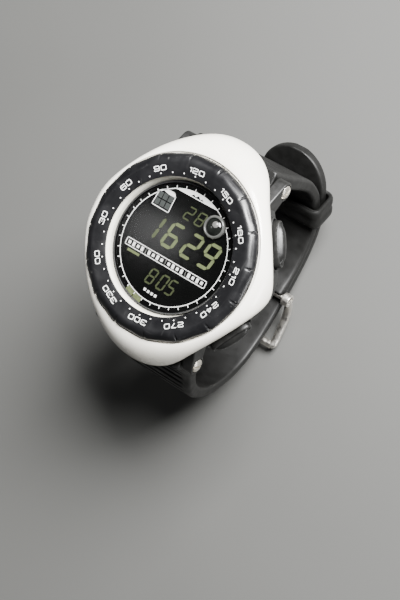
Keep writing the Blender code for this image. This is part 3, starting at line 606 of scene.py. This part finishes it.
FIGURES = {
    "0": [[(0.5, 0), (1, 0), (1, 1), (0, 1), (0, 0), (0.5, 0)]],
    "1": [[(0.15, 0.75), (0.5, 1), (0.5, 0)]],
    "2": [[(0, 0.75), (0, 1), (1, 1), (1, 0.56), (0, 0.42), (0, 0), (1, 0)]],
    "3": [[(0, 0.78), (0, 1), (1, 1), (1, 0.52), (0.3, 0.52)],
          [(0.3, 0.52), (1, 0.52), (1, 0), (0, 0), (0, 0.22)]],
    "4": [[(0.75, 0), (0.75, 1), (0, 0.3), (1.05, 0.3)]],
    "5": [[(1, 1), (0.05, 1), (0.02, 0.58), (1, 0.58), (1, 0), (0, 0), (0, 0.2)]],
    "6": [[(1, 0.8), (1, 1), (0, 1), (0, 0), (1, 0), (1, 0.57), (0.1, 0.57)]],
    "7": [[(0, 1), (1, 1), (0.35, 0)]],
    "8": [[(0.5, 0.52), (0.95, 0.52), (0.95, 1), (0.05, 1), (0.05, 0.52), (0.5, 0.52)],
          [(0.5, 0), (1, 0), (1, 0.52), (0, 0.52), (0, 0), (0.5, 0)]],
    "9": [[(0, 0.2), (0, 0), (1, 0), (1, 1), (0, 1), (0, 0.43), (0.9, 0.43)]],
}


def ribbon(shape, points, width, place):
    """A flat line of even width along 2-D points, closed where it returns to its start."""
    closed = points[0] == points[-1]
    path = rounded_path([(x, y, 0) for x, y in points], 0.34)
    if closed:
        path.pop()
    loops = []
    for i, point in enumerate(path):
        before = path[i - 1] if i or closed else point
        after = path[(i + 1) % len(path)] if closed else path[min(i + 1, len(path) - 1)]
        ahead = (after - before).normalized()
        side = Vector((-ahead.y, ahead.x, 0)) * width / 2
        lift = Vector((0, 0, 0.02))
        loops.append([place @ (point + offset) for offset in
                      (side + lift, side - lift, -side - lift, -side + lift)])
    loft(shape, loops, around=closed, caps=not closed)


def print_figures(shape, label, place):
    """Wide, square-shouldered figures, centred on their place."""
    wide, tall, gap, line = 1.42, 1.22, 0.54, 0.2
    spans = []
    for figure in label:
        across = [u for points in FIGURES[figure] for u, _ in points]
        spans.append((min(across) * wide, max(across) * wide))
    x = -(sum(right - left for left, right in spans) + gap * (len(label) - 1)) / 2
    for figure, (left, right) in zip(label, spans):
        for points in FIGURES[figure]:
            ribbon(shape, [(x - left + u * wide, (v - 0.5) * tall) for u, v in points], line, place)
        x += right - left + gap


def make_bezel_print():
    """Degrees every thirty and a dot every ten, on the inner slope."""
    slope = math.atan2(15.28 - 14.86, 21.75 - 19.35)
    shape = bmesh.new()
    for tens in range(36):
        clock = BEZEL_ZERO + 10 * tens
        spin = Matrix.Rotation(math.radians(-clock), 4, "Z")
        lean = Matrix.Rotation(slope, 4, "X")
        dot = spin @ Matrix.Translation((0, 19.4, 14.9)) @ lean
        prism(shape, circle(0.17, 16), -0.02, 0.02, dot)
        if tens % 3 == 0:
            place = spin @ Matrix.Translation((0, 20.75, 15.136)) @ lean
            print_figures(shape, "%02d" % (10 * tens), place)
    settle(from_bmesh("bezel_figures", shape, "white"), "bezel", slot="bezel")


def make_glass():
    inner = [(18.9, 14.1), (19.3, 14.1), (19.3, 10.6), (17.95, 10.6), (17.95, 11.6), (18.3, 12.9)]
    settle(turned("cream_wall", inner, "cream", 0.12, 192), "watch", "inner_ring", slot="reflector")
    seal = [(17.25, 12.1), (17.7, 12.1), (17.7, 11.8), (17.25, 11.8)]
    settle(turned("lens_seal", seal, "seal", 0.1, 128), "watch", "lens_gasket", slot="seal")
    lens = turned("lens_disc", [(0, LENS_TOP), (LENS_RADIUS, LENS_TOP), (LENS_RADIUS, LENS_BOTTOM),
                                (0, LENS_BOTTOM)], "glass", 0.22, 192)
    x, y = VIAL_CENTRE
    hole = turned("cutter", [(0, 15), (VIAL_RADIUS + 0.2, 15), (VIAL_RADIUS + 0.2, 11), (0, 11)],
                  "glass", 0, 64, (x, y))
    cut_with(lens, hole)
    shade(lens.data, 30)
    settle(lens, "watch", "lens", slot="lens")
    cup = [(2.3, 13.05), (2.45, 13.3), (2.75, 13.3), (VIAL_RADIUS, 12.9), (VIAL_RADIUS, 12.0),
           (0, 12.0), (0, 12.3), (2.3, 12.3)]
    vial = turned("vial_cup", cup, "vial", 0.12, 72, (x, y))
    settle(vial, "watch", "level_vial", slot="lens")
    dome = [(0, 13.6), (0.8, 13.55), (1.5, 13.4), (2.1, 13.1), (2.25, 12.7), (2.25, 12.4), (0, 12.4)]
    settle(turned("vial_dome", dome, "fluid", 0.1, 64, (x, y)), "watch", slot="lens")
    # the level's air bubble; its light grey colour is a painted highlight inside the dark fluid
    gas = [(0, 13.86), (0.55, 13.8), (0.85, 13.62), (0.95, 13.3), (0, 13.3)]
    settle(turned("vial_gas", gas, "bubble_highlight", 0.08, 40, (x + 0.35, y + 0.75)), "watch", slot="lens")


# ---- dial print and digits

SEGMENTS = {"0": "abcdef", "1": "bc", "2": "abged", "5": "afgcd", "6": "afgedc", "8": "abcdefg",
            "9": "abcdfg"}


def segment_digit(shape, figure, corner, width, height, stroke, lean=0.2):
    """One seven-segment figure with mitred bars; corner is its lower left."""
    half, mid = stroke / 2, height / 2
    gap = stroke * 0.10
    bars = {"a": (0, height, 1), "g": (0, mid, 1), "d": (0, 0, 1), "f": (0, mid, 0), "b": (width, mid, 0),
            "e": (0, 0, 0), "c": (width, 0, 0)}
    for letter in SEGMENTS[figure]:
        x, y, flat = bars[letter]
        length = width if flat else mid
        bar = [(gap, 0), (gap + half, half), (length - gap - half, half), (length - gap, 0),
               (length - gap - half, -half), (gap + half, -half)]
        if not flat:
            bar = [(-v, u) for u, v in bar]
        spots = [(corner[0] + x + u + lean * (y + v), corner[1] + y + v) for u, v in bar]
        prism(shape, spots, FACE_Z + 0.03, FACE_Z + 0.06)


def number(name, figures, lefts, baseline, width, height, stroke, look):
    shape = bmesh.new()
    for figure, left in zip(figures, lefts):
        segment_digit(shape, figure, (left, baseline), width, height, stroke)
    settle(from_bmesh(name, shape, look), "watch", slot="display")


def band(shape, inner, outer, start, end, bottom, top, steps=None):
    """A flat arc between two clock angles."""
    steps = steps or max(2, round(abs(end - start) / 2.5))
    clocks = [start + (end - start) * i / steps for i in range(steps + 1)]
    rim = [polar(outer, clock) for clock in clocks] + [polar(inner, clock) for clock in clocks[::-1]]
    prism(shape, rim, bottom, top)


def frame_of(shape, corners, line, bottom, top):
    """The outline of a four-sided panel, drawn with lines."""
    for a, b in zip(corners, corners[1:] + corners[:1]):
        a, b = Vector(a), Vector(b)
        ahead = (b - a).normalized() * line / 2
        across = Vector((-ahead.y, ahead.x))
        prism(shape, [tuple(a - ahead - across), tuple(b + ahead - across), tuple(b + ahead + across),
                      tuple(a - ahead + across)], bottom, top)


PRINT = (FACE_Z + 0.05, FACE_Z + 0.09)       # underside and top of the white marks


def dial_circle(shape):
    """A circle with a tick every ten degrees."""
    for tens in range(36):
        start = 10 * tens - 5
        band(shape, 15.56, 15.78, start, start + 10, *PRINT, 6)
        band(shape, 15.75, 16.5, start - 0.36, start + 0.36, *PRINT, 1)


def mode_strip(shape):
    """A framed strip of four cells, with plain bars in place of words."""
    top, bottom, left, right = -3.38, -5.34, -13.3, 13.15
    frame_of(shape, rectangle(left, bottom, right, top), 0.22, *PRINT)
    cell, middle = (right - left) / 4, (top + bottom) / 2
    for count in range(4):
        if count:
            x = left + cell * count
            frame_of(shape, [(x, bottom), (x, top), (x + 0.01, top), (x + 0.01, bottom)], 0.2, *PRINT)
        for mark in range(4):
            x = left + cell * count + 1.15 + 1.42 * mark
            tall = 0.62 if (mark + count) % 2 else 0.42
            prism(shape, rectangle(x - 0.4, middle - tall, x + 0.4, middle + tall), *PRINT)


def make_dial_print():
    """The white marks: circle, crescent, mode strip, memory icon, and dots in place of a name."""
    low, high = PRINT
    shape = bmesh.new()
    dial_circle(shape)
    prism(shape, [polar(15.6, -25.5 + 51 * i / 24) for i in range(25)], low + 0.01, high + 0.01)
    mode_strip(shape)
    panel = [(-11.4, 7.56), (-5.83, 7.40), (-5.81, 11.9), (-6.6, 12.75), (-9.2, 12.75), (-10.98, 11.62)]
    frame_of(shape, panel, 0.22, low, high)
    prism(shape, [(-9.3, 12.7), (-9.9, 12.15), (-8.0, 11.75), (-5.9, 11.75), (-6.65, 12.7)], low, high)
    for x, y in ((-1.9, -13.35), (-0.7, -13.45), (0.5, -13.5), (1.7, -13.5)):
        prism(shape, rectangle(x - 0.35, y - 0.35, x + 0.35, y + 0.35), low, high)
    settle(from_bmesh("dial_print", shape, "white"), "watch", slot="display")
    shape = bmesh.new()
    for column in range(3):
        for row in range(2):
            x, y = -10.9 + 1.68 * column, 8.0 + 1.95 * row
            prism(shape, rectangle(x, y, x + 1.4, y + 1.65), low, high)
    settle(from_bmesh("dial_icon", shape, "icon"), "watch", slot="display")
    shape = bmesh.new()
    for x, size in ((-1.2, 0.75), (0.2, 1.0), (1.5, 0.6)):
        prism(shape, [(x - size, 14.32), (x + size, 14.32), (x, 14.32 + size * 0.8)], high, high + 0.04)
    settle(from_bmesh("crescent_peaks", shape, "face"), "watch", slot="display")


def make_display():
    disc = [(0, FACE_Z), (17.6, FACE_Z), (17.6, 10.6), (0, 10.6)]
    settle(turned("display_panel", disc, "face", 0.1, 192), "watch", "lcd_panel", slot="display")
    number("time_digits", "629", (-3.9, 2.4, 8.1), -0.6, 3.4, 6.5, 0.92, "digit")
    number("faint_digit", "1", (-10.2,), -0.6, 3.4, 6.5, 0.92, "faint")
    number("small_digits", "805", (-3.2, 0.5, 3.4), -11.5, 2.0, 4.1, 0.5, "dim")
    number("day_digits", "28", (-1.4, 2.2), 8.2, 2.1, 3.5, 0.42, "dim")
    low, high = FACE_Z + 0.03, FACE_Z + 0.07
    shape = bmesh.new()
    band(shape, 15.95, 17.3, 185.6, 194.6, low, high)
    band(shape, 15.95, 17.3, 195.6, 204.6, low, high)
    prism(shape, rectangle(-11.9, -6.65, -7.9, -5.95), low, high)
    settle(from_bmesh("display_bars", shape, "digit"), "watch", slot="display")


# ---- buttons and screws

def make_buttons():
    for name in BUTTON_ANGLES:
        shape = bmesh.new()
        pad = [(12.2, 4.3, 25.3), (12.5, 4.6, 25.5), (12.5, 4.6, 27.4), (12.4, 4.5, 27.7),
               (12.1, 4.25, 27.9), (11.7, 3.95, 27.92), (11.3, 3.6, 27.75), (10.9, 3.3, 27.72),
               (10.5, 3.1, 27.85), (9.9, 2.85, 28.2), (8.6, 2.4, 28.6), (6.6, 1.8, 28.92),
               (4.0, 1.1, 29.1), (1.6, 0.5, 29.15)]
        stack(shape, pad, at_button(name))
        stack(shape, [(2.0, 2.0, 16.3, 2.0), (2.0, 2.0, 25.6, 2.0)], at_button(name))
        settle(from_bmesh("pad_" + name, shape, "button"), "button_" + name, "button_" + name,
               slot="button")


def make_button_springs():
    """Steel coils behind each button, in place of the CAD's springs."""
    inner, outer, radius, wire, turns = 22.1, 24.95, 1.72, 0.2, 3
    steps = 36 * turns
    for name in BUTTON_ANGLES:
        place = at_button(name)
        loops = []
        for i in range(steps + 1):
            around = 2 * math.pi * turns * i / steps
            x = inner + wire + (outer - inner - 2 * wire) * i / steps
            loop = []
            for k in range(14):
                turn = 2 * math.pi * k / 14
                reach = radius + wire * math.cos(turn)
                loop.append(place @ Vector((x + wire * math.sin(turn), reach * math.cos(around),
                                            reach * math.sin(around))))
            loops.append(loop)
        shape = bmesh.new()
        loft(shape, loops, caps=True)
        coil = from_bmesh("return_spring_" + name, shape, "steel")
        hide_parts("button_spring_" + name)
        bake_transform(coil)


def slotted_screw(name, profile, look, place, half_length, half_width, floor, node):
    """A turned screw with a straight slot; the profile leaves out the axis."""
    shape = bmesh.new()
    loops = []
    for step in range(48):
        spin = place @ Matrix.Rotation(math.pi * step / 24, 4, "Z")
        loops.append([spin @ Vector((radius, 0, z)) for radius, z in profile])
    loft(shape, loops, around=True)
    screw = from_bmesh(name, shape, look)
    low, high = (-half_length, -half_width, floor), (half_length, half_width, floor + 5)
    cut_with(screw, box_cutter(low, high, place))
    shade(screw.data, 35)
    settle(screw, "watch", node, slot="steel")


def make_screws():
    for end, label in ((1, "upper"), (-1, "lower")):
        for side, hand in ((1, "right"), (-1, "left")):
            profile = [(0, 17.4), (0.8, 17.36), (1.5, 17.2), (1.85, 16.98), (2.0, 16.7), (2.0, 16.0),
                       (1.9, 15.9), (1.0, 15.9), (1.0, 14.3), (0, 14.3)]
            place = (Matrix.Translation((0, end * PIN_Y, PIN_Z))
                     @ Matrix.Rotation(side * math.pi / 2, 4, "Y")
                     @ Matrix.Rotation(math.radians(25 * end + 40 * side), 4, "Z"))
            corner = "screw_%s_%s" % (label, hand)
            slotted_screw("strap_" + corner, profile, "screw", place, 3, 0.28, 16.85, "lug_" + corner)
    for count in range(4):
        angle = math.radians(45 + 90 * count)
        profile = [(0, 4.4), (0.5, 4.4), (0.6, 4.3), (0.6, 0.9), (1.0, 0.9), (1.1, 0.8),
                   (1.1, 0.17), (0.98, 0.05), (0, 0.05)]
        place = (Matrix.Translation((SCREW_CIRCLE * math.cos(angle), SCREW_CIRCLE * math.sin(angle), 0))
                 @ Matrix.Rotation(angle, 4, "Z"))
        label = "screw_%d" % (count + 1)
        slotted_screw("back_" + label, profile, "steel", place, 1.6, 0.17, -4.6, "case_" + label)


def make_back():
    plate = [(HATCH_RADIUS + 0.3, 1.2), (BACK_RADIUS, 1.2), (BACK_RADIUS, 0.0), (HATCH_RADIUS + 0.3, 0.0)]
    back = turned("back_plate", plate, "brushed", 0.2, 192)
    for count in range(4):
        angle = math.radians(45 + 90 * count)
        spot = (SCREW_CIRCLE * math.cos(angle), SCREW_CIRCLE * math.sin(angle))
        cut_with(back, turned("cutter", [(0, 3), (1.4, 3), (1.4, -1), (0, -1)], "case", 0, 40, spot))
    cut_with(back, box_cutter((-15.0, -3.4, -1), (15.0, 3.4, 3)))
    settle(soften(back, 0.1, 2), "watch", "case_back", slot="steel")
    hatch = [(0, 2.1), (12.6, 2.1), (12.6, 1.25), (12.0, 1.25), (12.0, 0.3), (HATCH_RADIUS, 0.3),
             (HATCH_RADIUS, 0.0), (11.3, 0.0), (11.1, 0.12), (10.9, 0.0), (0, 0.0)]
    cover = turned("hatch_disc", hatch, "brushed", 0.1, 128)
    for side in (-1, 1):
        low, high = sorted((side * 3.6, side * 10.2))
        cut_with(cover, box_cutter((low, -0.8, -1), (high, 0.8, 0.7)))
    tabs = bmesh.new()
    for side in (90, 270):
        band(tabs, 12.3, 14.3, side - 98, side - 82, 1.55, 2.1)
    parts = [soften(cover, 0.12, 2), from_bmesh("tabs", tabs, "brushed")]
    settle(joined("hatch", parts, "brushed"), "battery_hatch", "battery_cover", slot="steel")


# ---- strap

def smooth_route(points, spacing):
    """Evenly spaced points on a Catmull-Rom curve through the route's points."""
    ends = [tuple(2 * a - b for a, b in zip(points[0], points[1]))]
    ends += points + [tuple(2 * a - b for a, b in zip(points[-1], points[-2]))]
    fine = []
    for a, b, c, d in zip(ends, ends[1:], ends[2:], ends[3:]):
        a, b, c, d = (Vector(p) for p in (a, b, c, d))
        for i in range(20):
            t = i / 20
            fine.append(0.5 * (2 * b + (c - a) * t + (2 * a - 5 * b + 4 * c - d) * t ** 2
                               + (3 * b - a - 3 * c + d) * t ** 3))
    fine.append(Vector(points[-1]))
    lengths = [0.0]
    for a, b in zip(fine, fine[1:]):
        lengths.append(lengths[-1] + (b - a).length)
    count = max(2, round(lengths[-1] / spacing))
    route, k = [], 0
    for i in range(count + 1):
        want = lengths[-1] * i / count
        while k < len(fine) - 2 and lengths[k + 1] < want:
            k += 1
        share = (want - lengths[k]) / (lengths[k + 1] - lengths[k])
        route.append(fine[k].lerp(fine[k + 1], share))
    return route, lengths[-1] / count


def frame_at(route, index, side, reach=1):
    ahead = route[min(index + reach, len(route) - 1)] - route[max(index - reach, 0)]
    ahead.normalize()
    return ahead, Vector((-ahead.y, ahead.x)) * side


def ease(value, low, high):
    t = min(1.0, max(0.0, (value - low) / (high - low)))
    return t * t * (3 - 2 * t)


def lug_size(distance):
    width = LUG_HALF_WIDTH + (STRAP_HALF_WIDTH - LUG_HALF_WIDTH) * ease(distance, 8, 32)
    return width, LUG_THICKNESS / 2 + (1.95 - LUG_THICKNESS / 2) * ease(distance, 2, 14)


def short_size(distance, length):
    width, half = lug_size(distance)
    half += (SHORT_THICKNESS / 2 - 1.95) * ease(distance, 24, 36)
    return width, half + (BAR_END_RADIUS - SHORT_THICKNESS / 2) * ease(distance, length - 6, length - 2)


def long_size(distance, length):
    width, half = lug_size(distance)
    half += (LONG_THICKNESS / 2 - 1.95) * ease(distance, 24, 44)
    width += (TIP_HALF_WIDTH - STRAP_HALF_WIDTH) * ease(distance, 50, 100)
    left = length - distance
    if left < TIP_HALF_WIDTH:
        width *= math.sqrt(max(0.02, 1 - (1 - left / TIP_HALF_WIDTH) ** 2))
    return width, half


RIB_PITCH, RIB_DEPTH = 2.7, 0.55


def strap_section(half_width, half_thickness, distance, end_distance):
    """A rounded bar with a raised border, ribs near the lug and a shallow channel further on."""
    corner = min(1.1, 0.6 * half_thickness)
    across = 28
    rib_zone = ease(distance, 4.2, 5.2) * (1 - ease(distance, 26.0, 28.0))
    phase = (distance - 4.2) / RIB_PITCH
    groove = max(0.0, math.cos(2 * math.pi * phase)) ** 3
    channel = 0.18 * ease(distance, 30, 34) * ease(end_distance, 3, 7)
    points = []
    for quarter, (sx, sn) in enumerate(((1, 1), (-1, 1), (-1, -1), (1, -1))):
        for i in range(5):
            turn = math.pi / 2 * (quarter + i / 4)
            points.append((sx * (half_width - corner) + corner * math.cos(turn),
                           sn * (half_thickness - corner) + corner * math.sin(turn)))
        if quarter in (0, 2):
            for i in range(1, across):
                x = sx * (half_width - corner) * (1 - 2 * i / across)
                inside = ease(half_width - abs(x), 2.2, 3.2)
                drop = 0.0
                if quarter == 0:
                    drop = inside * (RIB_DEPTH * groove * rib_zone + channel)
                points.append((x, sn * (half_thickness - drop)))
    return points


def strap(name, route, step, side, size_at):
    shape = bmesh.new()
    length = step * (len(route) - 1)
    loops = []
    for index, spot in enumerate(route):
        distance = index * step
        out = frame_at(route, index, side, 3)[1]
        half_width, half = size_at(distance, length)
        left = min(distance, length - distance)
        round_off = 0.45 * (1 - math.sqrt(1 - (1 - min(1.0, left / 0.5)) ** 2))
        section = strap_section(half_width - round_off, half - round_off, distance, length - distance)
        loops.append([(x, spot.x + n * out.x, spot.y + n * out.y) for x, n in section])
    loft(shape, loops, caps=True)
    return from_bmesh(name, shape, "rubber", 50)


def strap_place(spot, ahead, out):
    """Local x across the strap, y along it and z out of it."""
    turn = Matrix(((1, 0, 0), (0, ahead.x, out.x), (0, ahead.y, out.y))).to_4x4()
    return Matrix.Translation((0, spot.x, spot.y)) @ turn


def layered_points(route, step, distances):
    points = []
    for distance in distances:
        index = len(route) - 1 - round(distance / step)
        out = frame_at(route, index, 1)[1]
        points.append(tuple(route[index] + out * LAYER))
    return points


def rounded_slot(half_width, half_length, depth, place):
    """A cutter with round ends for one adjusting hole."""
    points = []
    for end in (1, -1):
        for i in range(13):
            turn = math.pi * i / 12 + (0 if end > 0 else math.pi)
            points.append((half_width * math.cos(turn),
                           end * (half_length - half_width) + half_width * math.sin(turn)))
    shape = bmesh.new()
    prism(shape, points, -depth, depth, place)
    return from_bmesh("cutter", shape, "rubber")


def strap_holes(item, coarse, side):
    """Adjusting holes, where the CAD's coarser route has them."""
    start = next(i for i, spot in enumerate(coarse) if spot.x > FIRST_HOLE and spot.y < -40)
    last = Vector(coarse[start])
    count = 0
    for index in range(start, len(coarse) - 5):
        spot = coarse[index]
        if count and (spot - last).length < HOLE_PITCH:
            continue
        if count in (5, 6):
            count += 1
            last = spot
            continue
        ahead, out = frame_at(coarse, index, side)
        length = HOLE_LENGTH + (2.0 if count == 0 else 0.0)
        place = strap_place(spot, ahead, out)
        cut_with(item, rounded_slot(HOLE_WIDTH / 2, length / 2, 3.5, place))
        last = spot
        count += 1


CAD_STATION, FINE_STATION = 3.0, 0.3


def make_strap():
    coarse, step = smooth_route(SHORT_ROUTE, CAD_STATION)
    over = layered_points(coarse, step, (6.0, 12.0, 18.0, 24.0, KEEPER_FROM_BAR))
    far_points = LONG_ROUTE + over + [(31.5, -39.6), TIP]
    fine, fine_step = smooth_route(SHORT_ROUTE, FINE_STATION)
    short = strap("strap_buckle_half", fine, fine_step, 1, short_size)
    far, far_step = smooth_route(far_points, FINE_STATION)
    long = strap("strap_hole_half", far, far_step, -1, long_size)
    strap_holes(long, smooth_route(far_points, CAD_STATION)[0], -1)
    cut_with(short, box_cutter((-1.65, BAR_Y - 4, BAR_Z - 4), (1.65, BAR_Y + 2.6, BAR_Z + 4)))
    for item in (short, long):
        shade(item.data, 50)
    settle(short, "watch", "strap_short", slot="rubber")
    settle(long, "watch", "strap_long", slot="rubber")
    make_keeper(coarse, step)


def make_keeper(route, step):
    """A moulded loop with round outer edges and a shallow groove round its middle."""
    index = len(route) - 1 - round(KEEPER_FROM_BAR / step)
    ahead, out = frame_at(route, index, 1)
    middle = route[index] + out * (LONG_THICKNESS + 0.35) / 2
    half_wide = STRAP_HALF_WIDTH + 0.6
    half_tall = (SHORT_THICKNESS + LONG_THICKNESS + 0.35) / 2 + 0.6
    place = strap_place(middle, ahead, out)
    half, wall = KEEPER_WIDTH / 2, KEEPER_WALL

    def loop(grow, y):
        wide, tall = half_wide + grow, half_tall + grow
        rounded = fillet(rectangle(wide, tall, -wide, -tall), 1.5 + max(0.0, grow) * 1.1, 8)
        return [place @ Vector((x, y, z)) for x, z in rounded]

    rows = [(0.0, -half + 0.4), (0.35, -half + 0.05), (0.8, -half), (wall - 0.7, -half + 0.1),
            (wall - 0.2, -half + 0.5), (wall, -half + 1.2), (wall, -1.2), (wall - 0.2, -0.7)]
    rows += [(grow, -y) for grow, y in rows[::-1]]
    shape = bmesh.new()
    loft(shape, [loop(grow, y) for grow, y in rows], around=True)
    settle(from_bmesh("keeper_loop", shape, "rubber"), "keeper", "strap_keeper", slot="rubber")


# ---- buckle

def swept(name, points, size_at, look, sides=20):
    """A bar swept along 3-D points; size_at(share) gives its half width and half thickness."""
    points = [Vector(p) for p in points]
    shape = bmesh.new()
    loops = []
    up = Vector((1, 0, 0.001))
    for i, point in enumerate(points):
        ahead = (points[min(i + 1, len(points) - 1)] - points[max(i - 1, 0)]).normalized()
        side = ahead.cross(up)
        if side.length < 0.2:
            side = ahead.cross(Vector((0, 0.75, 0.66)))
        side.normalize()
        other = side.cross(ahead).normalized()
        wide, thick = size_at(i / (len(points) - 1))
        loop = []
        for k in range(sides):
            turn = 2 * math.pi * k / sides
            c, s = math.cos(turn), math.sin(turn)
            shape_x = math.copysign(abs(c) ** 0.7, c) * thick
            shape_y = math.copysign(abs(s) ** 0.7, s) * wide
            loop.append(tuple(point + side * shape_x + other * shape_y))
        loops.append(loop)
    loft(shape, loops, caps=True)
    return from_bmesh(name, shape, look, 50)


def rounded_path(points, radius, arc=6):
    """An open line of 3-D points with its inner corners rounded."""
    path = [Vector(points[0])]
    for before, corner, after in zip(points, points[1:], points[2:]):
        path += corner_arc(before, corner, after, radius, arc)
    path.append(Vector(points[-1]))
    return path


def x_ring(name, inner, outer, low, high, steps=40):
    """A steel ring or rod on the buckle bar's axis."""
    shape = bmesh.new()
    lathe(shape, fillet([(inner, high), (outer, high), (outer, low), (inner, low)], 0.2, 3), steps)
    item = from_bmesh(name, shape, "steel")
    place = Matrix.Translation((0, BAR_Y * MM, BAR_Z * MM)) @ Matrix.Rotation(math.pi / 2, 4, "Y")
    item.data.transform(place)
    return item


def make_buckle():
    settle(x_ring("buckle_pin", 0, BAR_RADIUS, -13.8, 13.8, 32), "watch", "buckle_bar", slot="steel")
    arm = [(BAR_Y, BAR_Z), (-5.8, -52.1), (-8.8, -54.7), (-13.4, -56.2), FRONT_BAR]
    side = smooth_route(arm, 0.5)[0]
    left = [(-13.2, p.x, p.y) for p in side]
    right = [(13.2, p.x, p.y) for p in side[::-1]]
    corner = [(x, FRONT_BAR[0] - 1.3, FRONT_BAR[1] + 0.2) for x in (-13.2, 13.2)]
    path = rounded_path(left[:-2] + corner + right[2:], 1.4)
    hoop = swept("hoop", path, lambda share: (1.15, 1.05), "steel")
    items = [hoop]
    for hand in (-1, 1):
        low, high = sorted((hand * 12.0, hand * 14.4))
        items.append(x_ring("eye", BAR_RADIUS + 0.25, 2.0, low, high))
    settle(joined("buckle_hoop", items, "steel"), "buckle", "buckle_frame", slot="steel")
    over = FRONT_BAR[1] - 1.15 - 0.35 - 0.8
    finger = [(BAR_Y - 0.6, BAR_Z - 1.3), (-6.4, -52.9), (-9.2, -56.5), (-13.6, -58.6),
              (FRONT_BAR[0] - 1.0, over), (FRONT_BAR[0] - 2.6, over + 0.1)]
    route = smooth_route(finger, 0.4)[0]
    tongue = swept("finger", [(0, p.x, p.y) for p in route],
                   lambda share: (0.95 - 0.25 * ease(share, 0.7, 1.0), 0.78 - 0.2 * ease(share, 0.8, 1.0)),
                   "steel")
    hub = x_ring("hub", BAR_RADIUS + 0.25, 1.85, -1.25, 1.25)
    settle(joined("tongue_finger", [tongue, hub], "steel"), "tongue", "buckle_tongue", slot="steel")


# ---- carried-over pieces

def dress_inner_pieces():
    """Procedural finishes for the CAD nodes that keep their own shape."""
    looks = {"circuit_board": "board", "processor_chip": "chip", "compass_sensor": "chip",
             "battery_contact": "brass", "buzzer": "brass", "module_frame": "module",
             "backlight_panel": "glow"}
    for name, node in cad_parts.items():
        if name in looks:
            look = looks[name]
        elif "gasket" in name or "seal" in name or name.startswith("display_connector"):
            look = "seal"
        else:
            look = "steel"
        node.data.materials.clear()
        node.data.materials.append(LOOKS[look])
        for polygon in node.data.polygons:
            polygon.use_smooth = False


# ---- stage, light, camera

def make_stage():
    floor_z = CAD_BOX[0][2] - 0.0002
    bpy.ops.mesh.primitive_plane_add(size=6.0, location=(0, 0, floor_z))
    floor = bpy.context.object
    floor.name = "floor"
    finish = Finish("floor_pale", (0.078, 0.078, 0.074), 0.6)
    finish.mottle((0.073, 0.073, 0.069), 0.01).bump(0.5, 0.01)
    floor.data.materials.append(finish.material)


def area_light(name, location, target, size, power):
    data = bpy.data.lights.new(name, "AREA")
    data.shape = "RECTANGLE"
    data.size, data.size_y = size
    data.energy = power
    lamp = bpy.data.objects.new(name, data)
    bpy.context.scene.collection.objects.link(lamp)
    lamp.location = location
    lamp.rotation_euler = (Vector(target) - Vector(location)).to_track_quat("-Z", "Y").to_euler()


def make_lights():
    world = bpy.data.worlds.new("studio")
    bpy.context.scene.world = world
    world.use_nodes = True
    sky = world.node_tree.nodes["Background"]
    sky.inputs["Color"].default_value = (0.88, 0.89, 0.90, 1)
    sky.inputs["Strength"].default_value = 0.08
    area_light("key", (0.20, 0.36, 0.42), (0, 0, 0), (0.30, 0.30), 30.0)
    area_light("side", (0.45, -0.05, -0.01), (0, 0, -0.02), (0.12, 0.10), 0.8)
    area_light("haze", (-0.195, -0.046, 0.386), (-0.006, 0.001, 0.013), (0.022, 0.034), 0.016)


def make_camera():
    """Where a camera with a 72 mm lens sees the watch as the reference view shows it."""
    eye = Vector((0.135968, 0.036827, 0.293829))
    right = Vector((0.79213288, 0.44778388, -0.41474703))
    down = Vector((0.46679286, -0.88226034, -0.06100099))
    ahead = Vector((-0.39323011, -0.14528006, -0.90788974))
    data = bpy.data.cameras.new("camera")
    data.lens = 72.0
    data.sensor_width = 36.0
    data.clip_start = 0.01
    camera = bpy.data.objects.new("camera", data)
    bpy.context.scene.collection.objects.link(camera)
    turn = Matrix((right, -down, -ahead)).transposed().to_4x4()
    camera.matrix_world = Matrix.Translation(eye) @ turn
    bpy.context.scene.camera = camera


make_camera()
make_stage()
make_lights()
dress_inner_pieces()
make_cover()
make_case()
make_bezel()
make_bezel_print()
make_glass()
make_display()
make_dial_print()
make_buttons()
make_button_springs()
make_screws()
make_back()
make_strap()
make_buckle()
